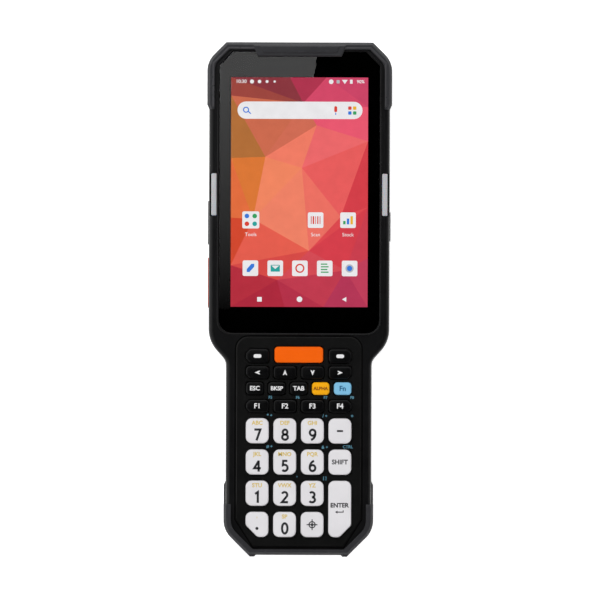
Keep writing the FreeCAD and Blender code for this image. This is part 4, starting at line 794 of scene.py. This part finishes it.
screen_shape("dock_letter_fold", [(-11.4, 13.9), (-9.8, 12.5), (-8.2, 13.9)], WHITE_LIGHT, 3)
disc("dock_clock", 0.3, 12.8, 1.9, RED_LIGHT)
disc("dock_clock_face", 0.3, 12.8, 1.3, WHITE_LIGHT, 3)
for number in range(4):
    y, end = 11.0 + number * 1.1, 12.1 - 0.5 * (number % 2)
    card(f"dock_line_{number}", 8.9, y, end, y + 0.5, 0.1, GREEN_LIGHT, 2)
disc("dock_lens_ring", 20.7, 12.8, 1.7, GREY_LIGHT)
disc("dock_lens", 20.7, 12.8, 1.1, BLUE_LIGHT, 3)

card("home_square", -17.2, -0.9, -15.3, 1.0, 0.15, WHITE_LIGHT)
disc("home_circle", 0.2, 0.1, 1.15, WHITE_LIGHT, 1)
screen_shape("home_triangle", [(17.6, 0.1), (19.4, 1.1), (19.4, -0.9)], WHITE_LIGHT)

# The black print behind the glass, with its window over the screen.
GLASS_CUT = 5.6 * MM
PANEL_CUT = (7.2 * MM, 11.3 * MM)
glass_low, glass_high = (Vector(corner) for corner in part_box("touch_window"))


def glass_loop(inset):
    """The window's outline, moved inwards: cut corners at its head, round ones at its foot."""
    x0, x1 = glass_low.x + inset, glass_high.x - inset
    y0, y1 = glass_low.y + inset, glass_high.y - inset
    cut = GLASS_CUT - inset * (2 - math.sqrt(2))
    foot, blunt = 5.0 * MM - inset, 0.5 * MM
    corners = [(x0, y0, foot), (x1, y0, foot), (x1, y1 - cut, blunt), (x1 - cut, y1, blunt)]
    return rounded_loop(corners + [(x0 + cut, y1, blunt), (x0, y1 - cut, blunt)])


def print_mesh(work):
    """The print: a sheet with the screen's window cut out of it."""
    edges = []
    x0, y0, x1, y1 = (value * MM for value in SCREEN)
    for loop in (glass_loop(0.1 * MM), [Vector(p) for p in ((x0, y0), (x1, y0), (x1, y1), (x0, y1))]):
        made = [work.verts.new((p.x, p.y, LEVEL)) for p in loop]
        edges += [work.edges.new((made[i], made[(i + 1) % len(made)])) for i in range(len(made))]
    bmesh.ops.triangle_fill(work, use_beauty=True, edges=edges, normal=(0, 0, 1))


new_object("window_print", mesh_from("window_print", print_mesh), "terminal", PRINT_BLACK)

# Thin trim on the front: a bead round the window, and round the face plate a flat near-black strip that
# paints the shade of its seam.


def ribbon(name, profile, look):
    """A closed strip through rings of points, each (loop, height)."""

    def build(work):
        rings = [[work.verts.new((p.x, p.y, z)) for p in loop] for loop, z in profile]
        skin(work, rings + rings[:1])
        bmesh.ops.recalc_face_normals(work, faces=work.faces)

    smooth(new_object(name, mesh_from(name, build), "terminal", look), 60)


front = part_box("front_housing")[1][2]
bead = []
for step in range(9):
    turn = math.pi * step / 8
    out, rise = 0.62 + 0.33 * math.cos(turn), 0.36 * math.sin(turn) - 0.05
    bead.append((glass_loop(-out * MM), front + rise * MM))
ribbon("window_bead", bead, RIM)

panel_low, panel_high = (Vector(corner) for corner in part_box("keypad_panel"))


def panel_loop(out):
    """The face plate's outline, moved outwards: round at its head, slanted at its foot."""
    x0, x1 = panel_low.x - out, panel_high.x + out
    y0, y1 = panel_low.y - out, panel_high.y + out
    slope = math.atan2(PANEL_CUT[1], PANEL_CUT[0])
    slant_x = PANEL_CUT[0] + out * (1 - math.tan(slope / 2))
    slant_y = PANEL_CUT[1] + out * (1 - math.tan(math.pi / 4 - slope / 2))
    head = 5.0 * MM + out
    corners = [(x0 + slant_x, y0, 0.4 * MM), (x1 - slant_x, y0, 0.4 * MM), (x1, y0 + slant_y, 0.4 * MM)]
    return rounded_loop(corners + [(x1, y1, head), (x0, y1, head), (x0, y0 + slant_y, 0.4 * MM)])


# Painted shade: a thin flat dark strip on the housing stands for the shadow in the groove round the face
# plate.
groove_shade_strip = [(panel_loop(0.1 * MM), front + 0.01 * MM), (panel_loop(0.1 * MM), front + 0.03 * MM)]
groove_shade_strip += [(panel_loop(0.6 * MM), front + 0.03 * MM), (panel_loop(0.6 * MM), front + 0.01 * MM)]
ribbon("panel_seam_shade", groove_shade_strip, PAINTED_SHADE)

# The light bars' rounded edge, as (inset, depth under their top) in mm.
BAR_EDGE = ((0.0, 0.45), (0.08, 0.22), (0.25, 0.08), (0.5, 0.0))
for side, node_name in ((-1, "left_light_bar"), (1, "right_light_bar")):
    low, high = (Vector(corner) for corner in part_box(node_name))
    inner, outer = (high.x, low.x) if side < 0 else (low.x, high.x)
    x0, x1 = sorted((inner, outer - side * 0.35 * MM))
    steps = [(0.0, high.z - low.z)] + [(inset * MM, depth * MM) for inset, depth in BAR_EDGE]

    def bar_mesh(work):
        rings = []
        for inset, drop in steps:
            loop = box_loop(x0 + inset, low.y + inset, x1 - inset, high.y - inset, 0.55 * MM - inset)
            rings.append([(p.x, p.y, high.z - drop) for p in loop])
        loft(work, rings)

    bar = new_object(node_name + "_lens", mesh_from(node_name + "_lens", bar_mesh), "terminal", LAMP)
    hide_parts(node_name)
    smooth(bar, 50)

# The bumper's bridge over the window: a sloping skirt, narrower at its foot, and a raised crown.
top_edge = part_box("top_bumper")[1][1] / MM


def bridge_form(name, foot_half, head_half, low_y, high_y, steps):
    """A crowned form whose outline draws in as it rises: steps of (inset, height) in mm."""

    def build(work):
        rings = []
        for inset, z in steps:
            corners = [
                (-foot_half + inset, low_y + inset, 0.5),
                (foot_half - inset, low_y + inset, 0.5),
                (head_half - inset * 1.2, high_y - inset * 0.3, 0.25),
                (-head_half + inset * 1.2, high_y - inset * 0.3, 0.25),
            ]
            loop = rounded_loop([(x * MM, y * MM, r * MM) for x, y, r in corners], 5)
            rings.append([(p.x, p.y, z * MM) for p in loop])
        loft(work, rings)

    smooth(new_object(name, mesh_from(name, build), "terminal", BUMPER), 35)


skirt = ((0.0, 29.3), (0.0, 29.6), (0.35, 29.95), (1.2, 30.5), (1.7, 30.65))
bridge_form("bridge_cap", 17.2, 19.3, top_edge - 5.9, top_edge - 1.1, skirt)
crown = ((0.0, 30.5), (0.0, 30.95), (0.15, 31.12), (0.5, 31.2))
bridge_form("bridge_crown", 14.9, 16.4, top_edge - 4.5, top_edge - 1.75, crown)

# A polished ridge along the bumper's inner edge, over the window's head.
RIDGE_FOOT = 79.0
RIDGE_SIDE = 34.9
RIDGE_HEAD = 2.9
RIDGE_CUT = 6.0
RIDGE_MIDDLE = 0.45


def ridge_path(out):
    """The ridge's line in plan, moved outwards, from its left foot to its right."""
    x, y = RIDGE_SIDE + out, top_edge - RIDGE_HEAD + out
    cut = RIDGE_CUT + out * (2 - math.sqrt(2))
    left = [(-x, RIDGE_FOOT), (-x, y - cut), (-x + cut, y)]
    return left + [(-px, py) for px, py in reversed(left)]


def ridge_mesh(work):
    """The ridge's section, as (half its width, height), along its path."""
    rings = []
    for half, z in ((0.42, 30.0), (0.42, 30.22), (0.34, 30.36), (0.2, 30.45)):
        loop = ridge_path(RIDGE_MIDDLE - half) + ridge_path(RIDGE_MIDDLE + half)[::-1]
        rings.append([(x * MM, y * MM, z * MM) for x, y in loop])
    loft(work, rings)
    bmesh.ops.recalc_face_normals(work, faces=work.faces)


new_object("bumper_ridge", mesh_from("bumper_ridge", ridge_mesh), "terminal", RIDGE)

# The back: screw heads with their drives as painted shade (flat dark stars), the camera's lens and flash,
# the battery's grip with painted shade (flat dark strips) for its ribs.


def faced_down(name, x, y, level, rings, look):
    """A turned form that points down: rings of (radius, height over the level), from outside in."""

    def build(work):
        loops = []
        for radius, z in rings:
            turns = circle(0, 0, radius, 32)
            loops.append([((x + px) * MM, (y - py) * MM, (level + z) * MM) for px, py in turns])
        loft(work, loops)

    smooth(new_object(name, mesh_from(name, build), "terminal", look), 40)


def star(radius):
    """A six-lobed drive's outline."""
    points = []
    for k in range(48):
        turn = k * math.tau / 48
        reach = radius * (1 + 0.16 * math.cos(6 * turn))
        points.append((reach * math.cos(turn), reach * math.sin(turn)))
    return points


screw_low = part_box("housing_screws")[0][2] / MM
HEAD_RINGS = [(2.18, 0.1), (2.18, -0.05), (2.0, -0.13), (1.3, -0.14)]
for number, (x, y) in enumerate(((29.2, 70), (-29.2, 70), (20.2, -94), (-20.2, -94))):
    faced_down(f"screw_head_{number}", x, y, screw_low, HEAD_RINGS, SCREW)
    loop = [((x + px) * MM, (y + py) * MM) for px, py in star(0.95)]
    # Painted shade: a flat dark star on the head stands for the shadow in its recessed drive.
    plate(f"screw_drive_shade_{number}", loop, (screw_low - 0.155) * MM, 0.03 * MM, "terminal", PAINTED_SHADE)

camera_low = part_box("camera_module")[0][2] / MM
LENS_RINGS = [(3.3, 0.05), (3.3, -0.08), (3.15, -0.15), (2.6, -0.15), (2.35, 0.1)]
faced_down("camera_lens_ring", 17, 71.25, camera_low, LENS_RINGS, RIM)
GLASS_RINGS = [(2.38, 0.42), (2.38, 0.25), (1.7, 0.2), (0.8, 0.18)]
faced_down("camera_lens_glass", 17, 71.25, camera_low, GLASS_RINGS, CAMERA_GLASS)
FLASH_RINGS = [(1.9, 0.05), (1.9, -0.06), (1.7, -0.12), (0.9, -0.14)]
faced_down("camera_flash", 17, 60.75, camera_low, FLASH_RINGS, LAMP)

# Painted shade: flat dark strips on the battery stand for the shade of its grip ribs.
for number in range(9):
    y = -4.0 - number * 2.2
    loop = [(p.x * MM, p.y * MM) for p in box_loop(-12.0, y - 0.45, 12.0, y + 0.45, 0.44)]
    plate(f"battery_rib_shade_{number}", loop, 0.01 * MM, 0.02 * MM, "battery_pack", PAINTED_SHADE)

# Grooves on the scan trigger as painted shade (flat darker red strips), plus and minus on the rocker, the
# power key's mark.
SIDE_MARK = 0.02 * MM


def side_plate(name, loop, x, body, look):
    """A thin solid on a side wall, from x on along X; its outline is in (y, z)."""

    def build(work):
        loft(work, [[(level, py, pz) for py, pz in loop] for level in (x, x + SIDE_MARK)])
        bmesh.ops.recalc_face_normals(work, faces=work.faces)

    new_object(name, mesh_from(name, build), body, look)


def upright(y0, z0, y1, z1, radius):
    """A rounded box's outline on a side wall, in (y, z)."""
    return [(p.x * MM, p.y * MM) for p in box_loop(y0, z0, y1, z1, radius)]


trigger_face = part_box("scan_trigger")[0][0]
# Painted shade: each groove is a flat strip of darker red, not a cut.
for number in range(7):
    y = 2.2 + number * 1.55
    groove = upright(y - 0.22, 19.4, y + 0.22, 23.4, 0.2)
    side_plate(f"trigger_groove_shade_{number}", groove, trigger_face, "scan_trigger", TRIGGER_GROOVE_SHADE)
rocker_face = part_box("volume_rocker")[0][0]
for name, shape in (
    ("rocker_minus", upright(24.6, 21.2, 26.4, 21.6, 0.1)),
    ("rocker_plus", upright(36.6, 21.2, 38.4, 21.6, 0.1)),
    ("rocker_plus_stem", upright(37.3, 20.5, 37.7, 22.3, 0.1)),
):
    side_plate(name, shape, rocker_face, "volume_rocker", INK_GREY)
power_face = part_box("power_key")[1][0]


def power_mesh(work):
    """The power sign's ring, open at its head."""
    turns = [math.radians(40 + 280 * k / 24) for k in range(25)]
    sides = []
    for radius in (1.1, 0.8):
        line = [(30 + radius * math.sin(t), 21.3 + radius * math.cos(t)) for t in turns]
        sides.append([work.verts.new((power_face, y * MM, z * MM)) for y, z in line])
    outer, inner = sides
    for i in range(len(outer) - 1):
        work.faces.new((outer[i], outer[i + 1], inner[i + 1], inner[i]))
    extruded = bmesh.ops.extrude_face_region(work, geom=list(work.faces))
    moved = [item for item in extruded["geom"] if isinstance(item, bmesh.types.BMVert)]
    bmesh.ops.translate(work, verts=moved, vec=(-SIDE_MARK, 0, 0))
    bmesh.ops.recalc_face_normals(work, faces=work.faces)


new_object("power_mark", mesh_from("power_mark", power_mesh), "power_key", INK_GREY)
stem = upright(29.85, 21.6, 30.15, 22.7, 0.1)
side_plate("power_stem", stem, power_face - SIDE_MARK, "power_key", INK_GREY)

# Light and camera.


def area_lamp(name, place, aim, size, power):
    """A softbox that lights the part and doesn't show in reflections."""
    data = bpy.data.lights.new(name, "AREA")
    data.shape = "RECTANGLE"
    data.size, data.size_y = size
    data.energy = power
    lamp = linked(name, data)
    lamp.location = place
    lamp.rotation_euler = (Vector(aim) - Vector(place)).to_track_quat("-Z", "Y").to_euler()
    lamp.visible_glossy = False
    lamp.visible_transmission = False


area_lamp("key_lamp", (-0.5, 0.75, 1.1), (0, 0.02, 0), (0.55, 0.55), 11.5)
area_lamp("fill_lamp", (0.8, -0.35, 0.9), (0, 0, 0), (0.5, 0.5), 3.2)
area_lamp("low_lamp", (-0.1, -0.9, 0.4), (0, 0, 0), (0.7, 0.25), 1.5)


def quad(name, corners, look):
    """A card of the studio, seen only in reflections and through the glass."""
    mesh = mesh_from(name, lambda work: work.faces.new([work.verts.new(c) for c in corners]))
    obj = linked(name, mesh)
    wear(obj, look)
    obj.visible_camera = False
    obj.visible_diffuse = False
    obj.visible_shadow = False


def card_look(name, strength, fade_from, fade_to):
    """A card's own light, which fades out along Y."""
    graph = Graph(name)
    place = graph.node("ShaderNodeTexCoord").outputs["Object"]
    y = graph.node("ShaderNodeSeparateXYZ", {"Vector": place}).outputs["Y"]
    links = {"Value": y, "From Min": fade_to, "From Max": fade_from, "To Min": 0.0, "To Max": strength}
    level = graph.node("ShaderNodeMapRange", links).outputs["Result"]
    graph.fix({"Base Color": (0, 0, 0, 1), "Specular IOR Level": 0.0, "Emission Color": (1, 1, 1, 1)})
    graph.link("Emission Strength", level)
    return graph.material


DISTANCE = 2.2
CARD_HEIGHT = 0.59
GLASS_LEVEL = 0.029
SPREAD = 1 + (CARD_HEIGHT - GLASS_LEVEL) / (DISTANCE - GLASS_LEVEL)


def mirrored(x, y):
    """The place at the cards' height that a point of the window mirrors to the camera, in mm."""
    return (x * SPREAD * MM, y * SPREAD * MM, CARD_HEIGHT)


FLAG = plastic("flag_cloth", "#010101", (0.9, 1.0), 200, 0.05, spec=0.0)
quad("flag", [(-0.36, -0.6, 0.6), (0.6, -0.6, 0.6), (0.6, 0.46, 0.6), (-0.36, 0.46, 0.6)], FLAG)
GLARE = card_look("softbox_light", 1.7, 0.115, -0.01)
TOP_GLARE = ((-60, 91.2), (5.6, 91.2), (7.6, 103), (12, 130), (-60, 130))
SIDE_GLARE = ((-60, -4), (-28.2, -4), (-28.2, 91.2), (-60, 91.2))
quad("top_softbox", [mirrored(x, y) for x, y in TOP_GLARE], GLARE)
quad("side_softbox", [mirrored(x, y) for x, y in SIDE_GLARE], GLARE)

# The room: white to the camera, dim as light on the part, and brighter on one side in reflections.
world = bpy.data.worlds.new("studio")
bpy.context.scene.world = world
world.use_nodes = True
room = Nodes(world.node_tree)
facing = room.node("ShaderNodeTexCoord").outputs["Generated"]
side = room.node("ShaderNodeVectorMath", {0: facing, 1: (-0.45, 0.85, 0.15)}, operation="DOT_PRODUCT")
links = {"From Min": -0.5, "From Max": 0.75, "To Min": 0.15, "To Max": 1.15}
links["Value"] = side.outputs["Value"]
glow = room.node("ShaderNodeMapRange", links).outputs["Result"]
rays = room.node("ShaderNodeLightPath").outputs
glancing = room.either(rays["Is Glossy Ray"], rays["Is Transmission Ray"])
unseen = room.node("ShaderNodeMix", {"Factor": glancing, "A": 0.3, "B": glow}).outputs["Result"]
strength = room.node("ShaderNodeMix", {"Factor": rays["Is Camera Ray"], "A": unseen, "B": 1.0})
background = world.node_tree.nodes["Background"]
background.inputs["Color"].default_value = (1, 1, 1, 1)
world.node_tree.links.new(strength.outputs["Result"], background.inputs["Strength"])


def floor_build(work):
    """The floor, a little under the part's back."""
    corners = [(-1.5, -1.5), (1.5, -1.5), (1.5, 1.5), (-1.5, 1.5)]
    work.faces.new([work.verts.new((x, y, -0.0002)) for x, y in corners])


floor_graph = Graph("studio_floor")
floor_graph.link("Base Color", floor_graph.grey_ramp(floor_graph.noise(6, 2), 0.9, 0.93))
floor_graph.fix({"Roughness": 0.8, "Emission Color": (1, 1, 1, 1)})
rays = floor_graph.node("ShaderNodeLightPath").outputs
glancing = floor_graph.either(rays["Is Glossy Ray"], rays["Is Transmission Ray"])
seen = floor_graph.either(rays["Is Camera Ray"], glancing)
glow = floor_graph.node("ShaderNodeMath", {0: seen, 1: 0.72}, operation="MULTIPLY")
floor_graph.link("Emission Strength", glow.outputs[0])
floor = linked("studio_floor", mesh_from("studio_floor", floor_build))
wear(floor, floor_graph.material)

# The camera shows the face at the photo's scale: 600 pixels wide, PIXEL of the part in each.
PIXEL = 0.41 * MM
FACE_LEVEL = 0.03
SENSOR = 36
camera_data = bpy.data.cameras.new("camera")
camera = linked("camera", camera_data)
bpy.context.scene.camera = camera
camera_data.sensor_fit = "HORIZONTAL"
camera_data.sensor_width = SENSOR
camera_data.lens = SENSOR * (DISTANCE - FACE_LEVEL) / (600 * PIXEL)
camera_data.clip_start = 0.05
camera_data.clip_end = 20
camera.location = (0.0004, -0.0002, DISTANCE)
camera.rotation_euler = (0, 0, math.radians(0.19))

bpy.context.scene.view_settings.view_transform = "Standard"
